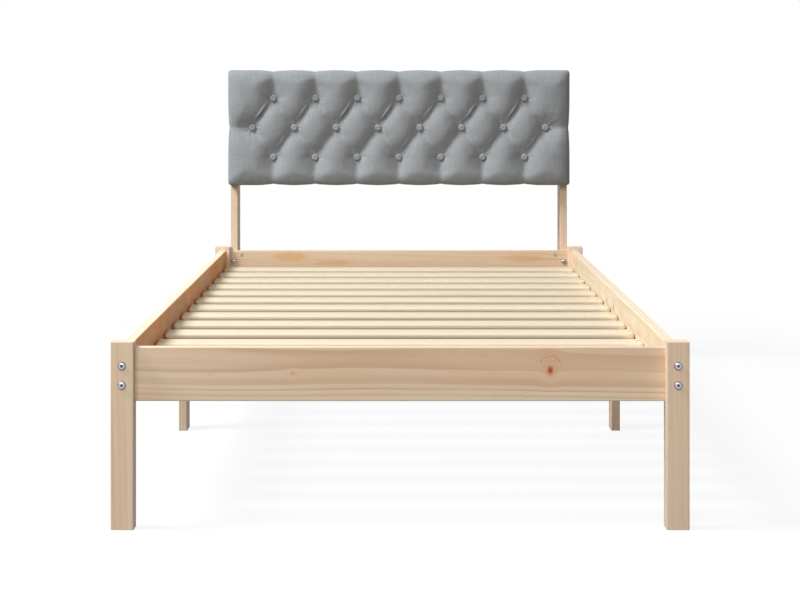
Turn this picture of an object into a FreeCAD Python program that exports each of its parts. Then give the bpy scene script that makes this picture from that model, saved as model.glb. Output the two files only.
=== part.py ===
import FreeCAD, Part
import Sketcher
import math
import os
import re

# A single bed: square legs, board rails, slats on bearers and a tufted headboard on two posts.
# The origin is on the floor under the middle of the bed, +X to the right seen from the foot,
# +Y towards the headboard and +Z up. All lengths are in millimetres.

# Driving sizes: they go into the sheet, and every other size and place follows from them.
SIZES = {
    "mattress_width": 900,
    "mattress_length": 2000,
    "board_thickness": 18,
    "rail_height": 90,
    "leg_size": 38,
    "leg_height": 310,
    "rail_drop": 10,
    "edge_round": 2,
    "mid_leg_depth": 57,
    "slat_count": 13,
    "slat_width": 65,
    "slat_thickness": 13,
    "slat_drop": 39,
    "slat_end_gap": 46,
    "slat_clearance": 1,
    "slat_round": 5.6,
    "slat_corner": 8,
    "bearer_height": 22,
    "bearer_inset": 46,
    "post_depth": 90,
    "post_top_drop": 35,
    "bolt_diameter": 6,
    "bolt_head_diameter": 13,
    "bolt_head_height": 4,
    "bolt_head_round": 3,
    "bolt_socket_size": 5,
    "bolt_socket_depth": 2.5,
    "bolt_overrun": 6,
    "side_bolt_gap": 32,
    "end_bolt_gap": 64,
    "hole_clearance": 0.2,
    "nut_diameter": 10,
    "nut_length": 14,
    "nut_inset": 31,
    "nut_slot_width": 1.6,
    "nut_slot_depth": 1.5,
    "dowel_diameter": 8,
    "dowel_length": 30,
    "cam_diameter": 15,
    "cam_length": 12.5,
    "cam_inset": 68,
    "cam_drop": 35,
    "splice_dowel_drop": 58,
    "screw_diameter": 4,
    "screw_head_diameter": 8,
    "screw_head_height": 2.4,
    "screw_length": 28,
    "pad_overhang": 5,
    "pad_height": 300,
    "pad_lift": 171,
    "pad_board_thickness": 12,
    "pad_back_cloth": 0.8,
    "pad_wrap": 10,
    "foam_depth": 38,
    "foam_edge_depth": 11,
    "pad_corner": 9,
    "pad_draw_in": 4,
    "pad_pleat_dip": 2.5,
    "tuft_side_margin": 63.5,
    "tuft_edge_margin": 73,
    "tuft_seat_depth": 15,
    "tuft_fold_rise": 7,
    "tuft_pleat_drop": 10,
    "button_diameter": 18,
    "button_height": 7,
    "button_sink": 0.6,
    "button_shank_diameter": 3,
    "button_shank_depth": 8,
    "bracket_gap": 130,
    "bracket_leg": 40,
    "bracket_width": 25,
    "bracket_thickness": 2.8,
    "bracket_screw_length": 11,
    "cut_overrun": 1,
}

# Sizes and places that follow from the driving sizes.
DERIVED = {
    "rail_top": "leg_height - rail_drop",
    "rail_base": "rail_top - rail_height",
    "rail_middle": "rail_top - rail_height / 2",
    "rail_inside": "mattress_width / 2",
    "rail_centre": "rail_inside + board_thickness / 2",
    "leg_inside": "rail_centre - leg_size / 2",
    "leg_outside": "rail_centre + leg_size / 2",
    "frame_length": "leg_size + mattress_length + board_thickness",
    "foot_face": "-(frame_length + post_depth - bolt_head_height) / 2",
    "mattress_foot": "foot_face + leg_size",
    "mattress_head": "mattress_foot + mattress_length",
    "frame_back": "foot_face + frame_length",
    "rear_leg_face": "frame_back - leg_size",
    "splice": "(mattress_foot + rear_leg_face) / 2",
    "side_half_length": "splice - mattress_foot",
    "slat_top": "rail_top - slat_drop",
    "slat_base": "slat_top - slat_thickness",
    "slat_edge": "min(slat_round; slat_thickness * 0.45)",
    "slat_pitch": "(mattress_length - 2 * slat_end_gap - slat_width) / (slat_count - 1)",
    "slat_start": "mattress_foot + slat_end_gap",
    "bearer_base": "slat_base - bearer_height",
    "bearer_centre": "rail_inside - board_thickness / 2",
    "post_centre": "leg_inside - board_thickness / 2",
    "pad_width": "2 * (leg_inside + pad_overhang)",
    "pad_base": "rail_top + pad_lift",
    "pad_middle": "pad_base + pad_height / 2",
    "pad_top": "pad_base + pad_height",
    "post_top": "pad_top - post_top_drop",
    "board_back": "frame_back - pad_back_cloth",
    "board_front": "board_back - pad_board_thickness",
    "board_width": "pad_width - 2 * pad_wrap",
    "board_height": "pad_height - 2 * pad_wrap",
    "tuft_half_pitch": "(pad_width / 2 - tuft_side_margin) / last_column",
    "tuft_row_gap": "pad_height / 2 - tuft_edge_margin",
    "button_floor": "tuft_seat_depth - button_sink",
    "bolt_radius": "bolt_diameter / 2",
    "bolt_hole": "bolt_radius + hole_clearance",
    "nut_hole": "nut_diameter / 2 + hole_clearance",
    "nut_hole_depth": "(board_thickness + nut_length) / 2",
    "dowel_hole": "dowel_diameter / 2 + hole_clearance / 2",
    "dowel_hole_depth": "dowel_length / 2 + hole_clearance",
    "cam_hole": "cam_diameter / 2 + hole_clearance",
    "cam_hole_depth": "cam_length + hole_clearance",
    "cam_height": "rail_top - cam_drop",
    "splice_dowel_height": "rail_top - splice_dowel_drop",
    "screw_hole": "screw_diameter / 2 + hole_clearance",
    "screw_sink": "screw_head_diameter / 2 + hole_clearance",
    "rail_bolt_length": "leg_size + nut_inset + bolt_overrun",
    "rail_bolt_hole_depth": "nut_inset + bolt_overrun + cut_overrun",
    "sunk_bolt_length": "rail_bolt_length - bolt_head_height",
    "bolt_sink": "bolt_head_diameter / 2 + hole_clearance",
    "post_bolt_length": "board_thickness + nut_inset + bolt_overrun",
    "bracket_screw_depth": "bracket_screw_length - bracket_thickness + cut_overrun",
    "shank_hole": "button_shank_diameter / 2 + hole_clearance",
}

# Plain counts and shares that the derived sizes use.
COUNTS = {
    "last_column": 7,
    "button_round_share": 0.8,
}

# Shares of the pad's side margin, closer together where its front rounds over to the side.
MARGIN_SHARES = (0.4, 0.7, 0.9, 1)
# Shares of a bracket's leg where its screws go.
BRACKET_SHARES = (0.4, 0.8)

X, Y, Z = FreeCAD.Vector(1, 0, 0), FreeCAD.Vector(0, 1, 0), FreeCAD.Vector(0, 0, 1)
AXES = {"+x": X, "-x": -X, "+y": Y, "-y": -Y, "+z": Z, "-z": -Z}
SIDES = {"left": -1, "right": 1}

doc = FreeCAD.newDocument("single_bed")
nodes = []


def make_sheet():
    sheet = doc.addObject("Spreadsheet::Sheet", "sizes")
    for row, (alias, number) in enumerate(SIZES.items(), start=1):
        sheet.set(f"A{row}", alias)
        sheet.set(f"B{row}", str(number))
        sheet.setAlias(f"B{row}", alias)
    doc.recompute()
    return sheet


def formula(text):
    # Turn words such as rail_top into an expression over the sheet's cells; functions such as min() stay.
    def swap(match):
        word = match.group(0)
        if word in DERIVED:
            return f"({formula(DERIVED[word])})"
        if word in COUNTS:
            return str(COUNTS[word])
        return f"sizes.{word}"
    return re.sub(r"\b[a-z][a-z_]*\b(?!\()", swap, str(text))


def size(text):
    return float(doc.sizes.evalExpression(formula(text)))


def point(x, y, z):
    return FreeCAD.Vector(size(x), size(y), size(z))


def bind(target, **texts):
    for name, text in texts.items():
        target.setExpression(name, formula(text))


def bind_place(target, place):
    for letter, text in zip("xyz", place):
        target.setExpression(f"Placement.Base.{letter}", formula(text))


def keep(target):
    nodes.append(target)
    return target


def origin_plane(body, role):
    return next(item for item in body.Origin.OriginFeatures if item.Role == role)


def edges_along(feature, axis):
    # Names of the straight edges that run along an axis.
    names = []
    for number, edge in enumerate(feature.Shape.Edges, start=1):
        if abs(edge.tangentAt(edge.FirstParameter).dot(axis)) > 1 - 1e-6:
            names.append(f"Edge{number}")
    return names


def round_edges(body, feature, names, radius):
    rounding = body.newObject("PartDesign::Fillet", body.Name + "_round")
    rounding.Base = (feature, names)
    bind(rounding, Radius=radius)
    doc.recompute()
    return rounding


def board(label, width, depth, height, corner, long_axis):
    # A board with eased long edges, from a sketched rectangle; corner is its lowest corner.
    body = doc.addObject("PartDesign::Body", label)
    sketch = body.newObject("Sketcher::SketchObject", label + "_plan")
    sketch.AttachmentSupport = [(origin_plane(body, "XY_Plane"), "")]
    sketch.MapMode = "FlatFace"
    corners = [FreeCAD.Vector(), X, X + Y, Y]
    for start, end in zip(corners, corners[1:] + corners[:1]):
        sketch.addGeometry(Part.LineSegment(start, end))
    for line in range(4):
        sketch.addConstraint(Sketcher.Constraint("Coincident", line, 2, (line + 1) % 4, 1))
    for line in range(4):
        sketch.addConstraint(Sketcher.Constraint("Vertical" if line % 2 else "Horizontal", line))
    sketch.addConstraint(Sketcher.Constraint("Coincident", 0, 1, -1, 1))
    for line, (name, text) in enumerate((("width", width), ("depth", depth))):
        constraint = Sketcher.Constraint("DistanceY" if line else "DistanceX", line, 1, line, 2, 1)
        sketch.renameConstraint(sketch.addConstraint(constraint), name)
        sketch.setExpression(f"Constraints.{name}", formula(text))
    pad = body.newObject("PartDesign::Pad", label + "_pad")
    pad.Profile = sketch
    bind(pad, Length=height)
    bind_place(body, corner)
    doc.recompute()
    round_edges(body, pad, edges_along(pad, long_axis), "edge_round")
    return keep(body)


def drill(body, axis, radius, depth, mouth):
    # A round hole from its mouth on a face, in the body's own frame; the tool starts just outside.
    hole = body.newObject("PartDesign::SubtractiveCylinder", body.Name + "_hole")
    hole.Placement = FreeCAD.Placement(FreeCAD.Vector(), FreeCAD.Rotation(Z, AXES[axis]))
    bind(hole, Radius=radius, Height=f"{depth} + cut_overrun")
    back = "-" if axis[0] == "+" else "+"
    place = [f"{text} {back} cut_overrun" if letter == axis[1] else text
             for letter, text in zip("xyz", mouth)]
    bind_place(hole, place)
    return hole


def countersink(body, axis, mouth):
    # The conical seat of a screw head, flush with the face.
    seat = body.newObject("PartDesign::SubtractiveCone", body.Name + "_countersink")
    seat.Placement = FreeCAD.Placement(FreeCAD.Vector(), FreeCAD.Rotation(Z, AXES[axis]))
    bind(seat, Radius1="screw_sink", Radius2="screw_hole", Height="screw_head_height + hole_clearance")
    bind_place(seat, mouth)
    return seat


def leg(label, side, face):
    # A square leg with through holes for both rails' bolts, sunk on the outer side for the end rail's bolt
    # heads, and a blind hole for the end rail's dowel.
    left = f"{SIDES[side]} * rail_centre - leg_size / 2"
    body = board(label, "leg_size", "leg_size", "leg_height", (left, face, "0"), Z)
    inward = "+x" if side == "right" else "-x"
    rail_line = "leg_size - board_thickness / 2"
    into, outer = ("-x", "leg_size") if side == "right" else ("+x", "0")
    for sign in "+-":
        height = f"rail_middle {sign} side_bolt_gap / 2"
        drill(body, "+y", "bolt_hole", "leg_size + cut_overrun", ("leg_size / 2", "0", height))
        height = f"rail_middle {sign} end_bolt_gap / 2"
        drill(body, "+x", "bolt_hole", "leg_size + cut_overrun", ("0", rail_line, height))
        drill(body, into, "bolt_sink", "bolt_head_height", (outer, rail_line, height))
    inner = "leg_size" if side == "left" else "0"
    drill(body, inward, "dowel_hole", "dowel_hole_depth", (inner, rail_line, "rail_middle"))
    return body


def end_rail(label, face, nut_axis):
    # A board between two legs, bolted and dowelled at both ends, with its nuts on the mattress side.
    length = "2 * leg_inside"
    body = board(label, length, "board_thickness", "rail_height", ("-leg_inside", face, "rail_base"), X)
    nut_face = "0" if nut_axis == "+y" else "board_thickness"
    middle = "board_thickness / 2"
    for axis, end, sign in (("+x", "0", "+"), ("-x", length, "-")):
        drill(body, axis, "dowel_hole", "dowel_hole_depth", (end, middle, "rail_height / 2"))
        for side in "+-":
            height = f"rail_height / 2 {side} end_bolt_gap / 2"
            drill(body, axis, "bolt_hole", "rail_bolt_hole_depth", (end, middle, height))
            nut_mouth = (f"{end} {sign} nut_inset", nut_face, height)
            drill(body, nut_axis, "nut_hole", "nut_hole_depth", nut_mouth)
    return body


def drill_post_holes(rail):
    # Through holes in the head rail for the bolts that hold the posts.
    for sign in SIDES.values():
        for side in "+-":
            mouth = (f"leg_inside + {sign} * post_centre", "0", f"rail_height / 2 {side} side_bolt_gap / 2")
            drill(rail, "+y", "bolt_hole", "board_thickness + cut_overrun", mouth)


def side_rail(label, side, half, slat_screw_gaps):
    # Half a side rail, from a leg to the splice over the middle leg.
    start = "mattress_foot" if half == "foot" else "splice"
    left = f"{SIDES[side]} * rail_centre - board_thickness / 2"
    body = board(label, "board_thickness", "side_half_length", "rail_height", (left, start, "rail_base"), Y)
    into = "+x" if side == "right" else "-x"
    inner = "0" if side == "right" else "board_thickness"
    middle = "board_thickness / 2"
    to_splice, to_leg = ("+y", "-y") if half == "foot" else ("-y", "+y")
    leg_end = "0" if half == "foot" else "side_half_length"
    splice_end = "side_half_length" if half == "foot" else "0"
    for sign in "+-":
        height = f"rail_height / 2 {sign} side_bolt_gap / 2"
        drill(body, to_splice, "bolt_hole", "rail_bolt_hole_depth", (middle, leg_end, height))
        nut_mouth = (inner, f"{leg_end} {to_splice[0]} nut_inset", height)
        drill(body, into, "nut_hole", "nut_hole_depth", nut_mouth)
    cam_line = "rail_height - cam_drop"
    drill(body, to_leg, "bolt_hole", "cam_inset", (middle, splice_end, cam_line))
    drill(body, into, "cam_hole", "cam_hole_depth", (inner, f"{splice_end} {to_leg[0]} cam_inset", cam_line))
    dowel_mouth = (middle, splice_end, "rail_height - splice_dowel_drop")
    drill(body, to_leg, "dowel_hole", "dowel_hole_depth", dowel_mouth)
    below = (middle, f"{splice_end} {to_leg[0]} mid_leg_depth / 4", "0")
    drill(body, "+z", "dowel_hole", "dowel_hole_depth", below)
    screw_depth = "screw_length - board_thickness + cut_overrun"
    for place in slat_screw_gaps:
        mouth = (inner, f"{place} - ({start})", "bearer_base + bearer_height / 2 - rail_base")
        drill(body, into, "screw_hole", screw_depth, mouth)
    return body


def bearer(label, side, half, slat_places, screw_places):
    # A strip screwed to the inside of a side rail; the slats lie on it.
    start = "mattress_foot + bearer_inset" if half == "foot" else "splice"
    left = f"{SIDES[side]} * bearer_centre - board_thickness / 2"
    length = "side_half_length - bearer_inset"
    body = board(label, "board_thickness", length, "bearer_height", (left, start, "bearer_base"), Y)
    into = "+x" if side == "right" else "-x"
    inner = "0" if side == "right" else "board_thickness"
    for place in screw_places:
        mouth = (inner, f"{place} - ({start})", "bearer_height / 2")
        drill(body, into, "screw_hole", "board_thickness + cut_overrun", mouth)
        countersink(body, into, mouth)
    pilot_depth = "screw_length - slat_thickness + cut_overrun"
    for place in slat_places:
        mouth = ("board_thickness / 2", f"{place} - ({start})", "bearer_height")
        drill(body, "-z", "screw_hole", pilot_depth, mouth)
    return body


def slat(number):
    # A slat with rounded long edges and corners, screwed down at each end.
    label = f"slat_{number + 1:02d}"
    length = "2 * (rail_inside - slat_clearance)"
    corner = ("slat_clearance - rail_inside", f"slat_start + {number} * slat_pitch", "slat_base")
    body = doc.addObject("PartDesign::Body", label)
    block = body.newObject("PartDesign::AdditiveBox", label + "_block")
    bind(block, Length=length, Width="slat_width", Height="slat_thickness")
    bind_place(body, corner)
    doc.recompute()
    rounded = round_edges(body, block, edges_along(block, Z), "slat_corner")
    rim_edges = [f"Edge{index}" for index, edge in enumerate(rounded.Shape.Edges, start=1)
                 if edge.BoundBox.ZLength < edge.Length * 1e-6]
    round_edges(body, rounded, rim_edges, "slat_edge")
    for sign in SIDES.values():
        mouth = (f"rail_inside - slat_clearance + {sign} * bearer_centre", "slat_width / 2", "slat_thickness")
        drill(body, "-z", "screw_hole", "slat_thickness + cut_overrun", mouth)
        countersink(body, "-z", mouth)
    return keep(body)


def mid_leg(label, side):
    # A board on end under the splice, dowelled into both halves of the side rail.
    corner = (f"{SIDES[side]} * rail_centre - board_thickness / 2", "splice - mid_leg_depth / 2", "0")
    body = board(label, "board_thickness", "mid_leg_depth", "rail_base", corner, Z)
    for share in (1, 3):
        mouth = ("board_thickness / 2", f"mid_leg_depth * {share} / 4", "rail_base")
        drill(body, "-z", "dowel_hole", "dowel_hole_depth", mouth)
    return body


def post(label, side):
    # A board on edge behind the head rail, up behind the pad.
    corner = (f"{SIDES[side]} * post_centre - board_thickness / 2", "frame_back", "rail_base")
    body = board(label, "board_thickness", "post_depth", "post_top - rail_base", corner, Z)
    into = "+x" if side == "right" else "-x"
    inner = "0" if side == "right" else "board_thickness"
    middle = "board_thickness / 2"
    for sign in "+-":
        height = f"rail_height / 2 {sign} side_bolt_gap / 2"
        drill(body, "+y", "bolt_hole", "rail_bolt_hole_depth", (middle, "0", height))
        drill(body, into, "nut_hole", "nut_hole_depth", (inner, "nut_inset", height))
        height = f"pad_middle - rail_base {sign} bracket_gap / 2"
        for share in BRACKET_SHARES:
            mouth = (inner, f"bracket_leg * {share}", height)
            drill(body, into, "screw_hole", "bracket_screw_depth", mouth)
    return body


def bolt(name, length):
    # A dome-headed bolt with a hexagon socket: the head sits below zero, the shank runs up.
    body = doc.addObject("PartDesign::Body", name)
    head = body.newObject("PartDesign::AdditiveCylinder", name + "_head")
    bind(head, Radius="bolt_head_diameter / 2", Height="bolt_head_height")
    bind_place(head, ("0", "0", "-bolt_head_height"))
    doc.recompute()
    lowest = min(range(len(head.Shape.Edges)), key=lambda item: head.Shape.Edges[item].CenterOfMass.z)
    round_edges(body, head, [f"Edge{lowest + 1}"], "bolt_head_round")
    shank = body.newObject("PartDesign::AdditiveCylinder", name + "_shank")
    bind(shank, Radius="bolt_radius", Height=length)
    socket = body.newObject("PartDesign::SubtractivePrism", name + "_socket")
    bind(socket, Circumradius="bolt_socket_size / 2", Height="bolt_socket_depth + cut_overrun")
    bind_place(socket, ("0", "0", "-bolt_head_height - cut_overrun"))
    doc.recompute()
    return body


def barrel(name, diameter, length, bore_rise):
    # A round cross nut: its slotted end is at zero, its bore crosses it along X.
    body = doc.addObject("PartDesign::Body", name)
    drum = body.newObject("PartDesign::AdditiveCylinder", name + "_drum")
    bind(drum, Radius=f"{diameter} / 2", Height=length)
    slot = body.newObject("PartDesign::SubtractiveBox", name + "_slot")
    bind(slot, Length="nut_slot_width", Width=f"{diameter} + 2 * cut_overrun",
         Height="nut_slot_depth + cut_overrun")
    bind_place(slot, ("-nut_slot_width / 2", f"-{diameter} / 2 - cut_overrun", "-cut_overrun"))
    drill(body, "+x", "bolt_hole", f"{diameter} + cut_overrun", (f"-{diameter} / 2", "0", bore_rise))
    doc.recompute()
    return body


def rod(name, radius, length):
    # A plain round rod, pin or dowel from zero upwards.
    body = doc.addObject("PartDesign::Body", name)
    pin = body.newObject("PartDesign::AdditiveCylinder", name + "_pin")
    bind(pin, Radius=radius, Height=length)
    doc.recompute()
    return body


def bracket(name):
    # An angle bracket in the corner of a post and the pad's back, with countersunk holes in both legs.
    body = doc.addObject("PartDesign::Body", name)
    for part, length, depth in (("side", "bracket_thickness", "bracket_leg"),
                                ("back", "bracket_leg", "bracket_thickness")):
        plate = body.newObject("PartDesign::AdditiveBox", f"{name}_{part}")
        bind(plate, Length=length, Width=depth, Height="bracket_width")
        bind_place(plate, (f"-({length})", "0", "-bracket_width / 2"))
    doc.recompute()
    for share in BRACKET_SHARES:
        for axis, mouth in (("+x", ("-bracket_thickness", f"bracket_leg * {share}", "0")),
                            ("-y", (f"-bracket_leg * {share}", "bracket_thickness", "0"))):
            drill(body, axis, "screw_hole", "bracket_thickness + cut_overrun", mouth)
            countersink(body, axis, mouth)
    doc.recompute()
    return body


def screw(name, length):
    # A countersunk screw: the head's flat is at zero, the shank runs up.
    body = doc.addObject("PartDesign::Body", name)
    head = body.newObject("PartDesign::AdditiveCone", name + "_head")
    bind(head, Radius1="screw_head_diameter / 2", Radius2="screw_diameter / 2", Height="screw_head_height")
    shank = body.newObject("PartDesign::AdditiveCylinder", name + "_shank")
    bind(shank, Radius="screw_diameter / 2", Height=length)
    doc.recompute()
    return body


def button(name):
    # A domed button with its shank; the underside of the head is at zero, the shank runs up.
    body = doc.addObject("PartDesign::Body", name)
    head = body.newObject("PartDesign::AdditiveCylinder", name + "_head")
    bind(head, Radius="button_diameter / 2", Height="button_height")
    bind_place(head, ("0", "0", "-button_height"))
    doc.recompute()
    lowest = min(range(len(head.Shape.Edges)), key=lambda item: head.Shape.Edges[item].CenterOfMass.z)
    round_edges(body, head, [f"Edge{lowest + 1}"], "button_height * button_round_share")
    shank = body.newObject("PartDesign::AdditiveCylinder", name + "_shank")
    bind(shank, Radius="button_shank_diameter / 2", Height="button_floor + button_shank_depth")
    doc.recompute()
    return body


def group(label, master, spots):
    # Copies of one fastener, each a solid of its own; a spot is a point, a direction and a cross direction.
    copies = []
    for spot, axis, cross in spots:
        along, across = AXES[axis], AXES[cross]
        turn = FreeCAD.Rotation(across, along.cross(across), along, "ZXY")
        copy = master.Shape.copy()
        copy.Placement = FreeCAD.Placement(spot, turn)
        copies.append(copy)
    target = doc.addObject("Part::Feature", label)
    target.Shape = Part.makeCompound(copies)
    return keep(target)


def tuft_places():
    # Button centres in the pad's face: odd columns on the middle row, even ones above and below it.
    places = []
    for column in range(-COUNTS["last_column"], COUNTS["last_column"] + 1):
        across = size("tuft_half_pitch") * column
        rows = (0,) if column % 2 else (-1, 1)
        places += [(across, size("pad_middle") + row * size("tuft_row_gap")) for row in rows]
    return places


def cushion_section(across):
    # The pad's outline at one place across it: back, edges, and three arcs between two tuft creases.
    columns = abs(across) / size("tuft_half_pitch")
    beyond = max(0.0, columns - COUNTS["last_column"])
    margin = size("tuft_side_margin") / size("tuft_half_pitch")
    side = min(1.0, beyond / margin)
    columns = min(columns, COUNTS["last_column"])
    fold = 1 - abs(1 - columns % 2)
    edge_share = size("foam_edge_depth") / size("foam_depth")
    swell = edge_share + (1 - edge_share) * math.sqrt(1 - side ** 2)
    seat = size("tuft_seat_depth")
    crease_depth = (seat + size("tuft_fold_rise") * 4 * fold * (1 - fold)) * swell
    crown = size("foam_depth") * swell
    outer_crown = (size("foam_depth") - size("tuft_pleat_drop") * (1 - fold)) * swell
    middle_crown = crease_depth + (crown - crease_depth) * math.sin(math.pi / 2 * (1 - fold))
    middle_crown += size("button_sink") * swell
    crease = max(size("tuft_row_gap") * (1 - fold), size("button_diameter") / 2)
    edge = size("pad_height") / 2 - size("pad_pleat_dip") * (1 - fold) - size("pad_corner") * side ** 4
    rim = size("foam_edge_depth")

    def at(depth, rise):
        return FreeCAD.Vector(across, size("board_front") - depth, size("pad_middle") + rise)

    back = -size("pad_board_thickness")
    halfway = (crease + edge) / 2
    lower = Part.Arc(at(rim, -edge), at(outer_crown, -halfway), at(crease_depth, -crease))
    middle = Part.Arc(at(crease_depth, -crease), at(middle_crown, 0), at(crease_depth, crease))
    upper = Part.Arc(at(crease_depth, crease), at(outer_crown, halfway), at(rim, edge))
    lines = [Part.LineSegment(at(back, -edge), at(rim, -edge)), lower, middle, upper,
             Part.LineSegment(at(rim, edge), at(back, edge)),
             Part.LineSegment(at(back, edge), at(back, -edge))]
    return Part.Wire([line.toShape() for line in lines])


def cushion():
    # The tufted pad: sections lofted across, sides drawn in, hollowed for its board and its buttons.
    half = size("tuft_half_pitch")
    last = COUNTS["last_column"]
    inner = [half * column / 2 for column in range(-2 * last, 2 * last + 1)]
    margin = [half * last + size("tuft_side_margin") * share for share in MARGIN_SHARES]
    stations = [-place for place in reversed(margin)] + inner + margin
    shape = Part.makeLoft([cushion_section(place) for place in stations], True, True)
    draw = size("pad_draw_in")
    chord = size("tuft_row_gap")
    sweep = (chord ** 2 + draw ** 2) / (2 * draw)
    length = size("foam_depth + pad_board_thickness + 2 * cut_overrun")
    front = size("board_front - foam_depth - cut_overrun")
    cutters = []
    for sign in SIDES.values():
        centre = FreeCAD.Vector(sign * (size("pad_width / 2") + sweep - draw), front, size("pad_middle"))
        cutters.append(Part.makeCylinder(sweep, length, centre, Y))
    corner = point("-board_width / 2", "board_front", "pad_middle - board_height / 2")
    depth = size("pad_board_thickness + cut_overrun")
    cutters.append(Part.makeBox(size("board_width"), depth, size("board_height"), corner))
    for across, height in tuft_places():
        floor = FreeCAD.Vector(across, size("board_front - button_floor"), height)
        well = size("foam_depth")
        cutters.append(Part.makeCylinder(size("button_diameter / 2 + hole_clearance"), well, floor, -Y))
        cutters.append(Part.makeCylinder(size("shank_hole"), size("button_floor + cut_overrun"), floor, Y))
    target = doc.addObject("Part::Feature", "headboard_cushion")
    target.Shape = shape.cut(cutters)
    return keep(target)


def bracket_screw_line(sign, share):
    # Where a bracket's screw goes into the pad's back, across the bed.
    return f"{sign} * (post_centre - board_thickness / 2 - bracket_leg * {share})"


def headboard_board():
    # The stiff board behind the foam, with pilot holes for the brackets' screws and the buttons' shanks.
    corner = ("-board_width / 2", "board_front", "pad_middle - board_height / 2")
    body = board("headboard_board", "board_width", "pad_board_thickness", "board_height", corner, Y)
    for sign in SIDES.values():
        for side in "+-":
            height = f"board_height / 2 {side} bracket_gap / 2"
            for share in BRACKET_SHARES:
                across = f"board_width / 2 + {bracket_screw_line(sign, share)}"
                mouth = (across, "pad_board_thickness", height)
                drill(body, "-y", "screw_hole", "bracket_screw_depth - pad_back_cloth", mouth)
    for column in range(-COUNTS["last_column"], COUNTS["last_column"] + 1):
        for row in ("0",) if column % 2 else ("-1", "1"):
            across = f"board_width / 2 + {column} * tuft_half_pitch"
            mouth = (across, "0", f"board_height / 2 + {row} * tuft_row_gap")
            drill(body, "+y", "shank_hole", "button_shank_depth + cut_overrun", mouth)
    return body


def back_cloth():
    # A thin cloth over the board's back, pierced where the brackets' screws pass.
    corner = ("-board_width / 2", "board_back", "pad_middle - board_height / 2")
    body = doc.addObject("PartDesign::Body", "headboard_back_cloth")
    sheet = body.newObject("PartDesign::AdditiveBox", "headboard_back_cloth_sheet")
    bind(sheet, Length="board_width", Width="pad_back_cloth", Height="board_height")
    bind_place(body, corner)
    for sign in SIDES.values():
        for side in "+-":
            height = f"board_height / 2 {side} bracket_gap / 2"
            for share in BRACKET_SHARES:
                mouth = (f"board_width / 2 + {bracket_screw_line(sign, share)}", "0", height)
                drill(body, "+y", "screw_hole", "pad_back_cloth + cut_overrun", mouth)
    doc.recompute()
    return keep(body)


make_sheet()

# Places along the bed: slat screws on the slats' centre lines, bearer screws midway between slats.
slat_total = int(size("slat_count"))
slat_lines = [f"slat_start + slat_width / 2 + {number} * slat_pitch" for number in range(slat_total)]
gap_lines = [f"{line} + slat_pitch / 2" for line in slat_lines[:-1]]
screw_room = size("screw_head_diameter")
slat_spots, gap_spots = {}, {}
for half in ("foot", "head"):
    low = size("mattress_foot + bearer_inset" if half == "foot" else "splice")
    high = low + size("side_half_length - bearer_inset")
    slat_spots[half] = [line for line in slat_lines if low < size(line) < high]
    gap_spots[half] = [line for line in gap_lines if low + screw_room < size(line) < high - screw_room]

for side in SIDES:
    leg(f"front_leg_{side}", side, "foot_face")
    leg(f"rear_leg_{side}", side, "rear_leg_face")
end_rail("foot_rail", "mattress_foot - board_thickness", "-y")
drill_post_holes(end_rail("head_rail", "mattress_head", "+y"))
for side in SIDES:
    for half in ("foot", "head"):
        side_rail(f"side_rail_{side}_{half}", side, half, gap_spots[half])
        bearer(f"bearer_{side}_{half}", side, half, slat_spots[half], gap_spots[half])
    mid_leg(f"mid_leg_{side}", side)
    post(f"headboard_post_{side}", side)
for number in range(slat_total):
    slat(number)
headboard_board()
back_cloth()
cushion()

rail_bolt = bolt("rail_bolt", "rail_bolt_length")
sunk_bolt = bolt("sunk_bolt", "sunk_bolt_length")
post_bolt = bolt("post_bolt", "post_bolt_length")
nut = barrel("barrel_nut", "nut_diameter", "nut_length", "nut_length / 2")
cam = barrel("cam", "cam_diameter", "cam_length", "board_thickness / 2 - hole_clearance")
splice_rod = rod("splice_rod", "bolt_radius", "2 * cam_inset")
dowel = rod("dowel", "dowel_diameter / 2", "dowel_length")
angle = bracket("angle_bracket")
wood_screw = screw("wood_screw", "screw_length")
short_screw = screw("short_screw", "bracket_screw_length")
tuft_button = button("tuft_button")

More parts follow.
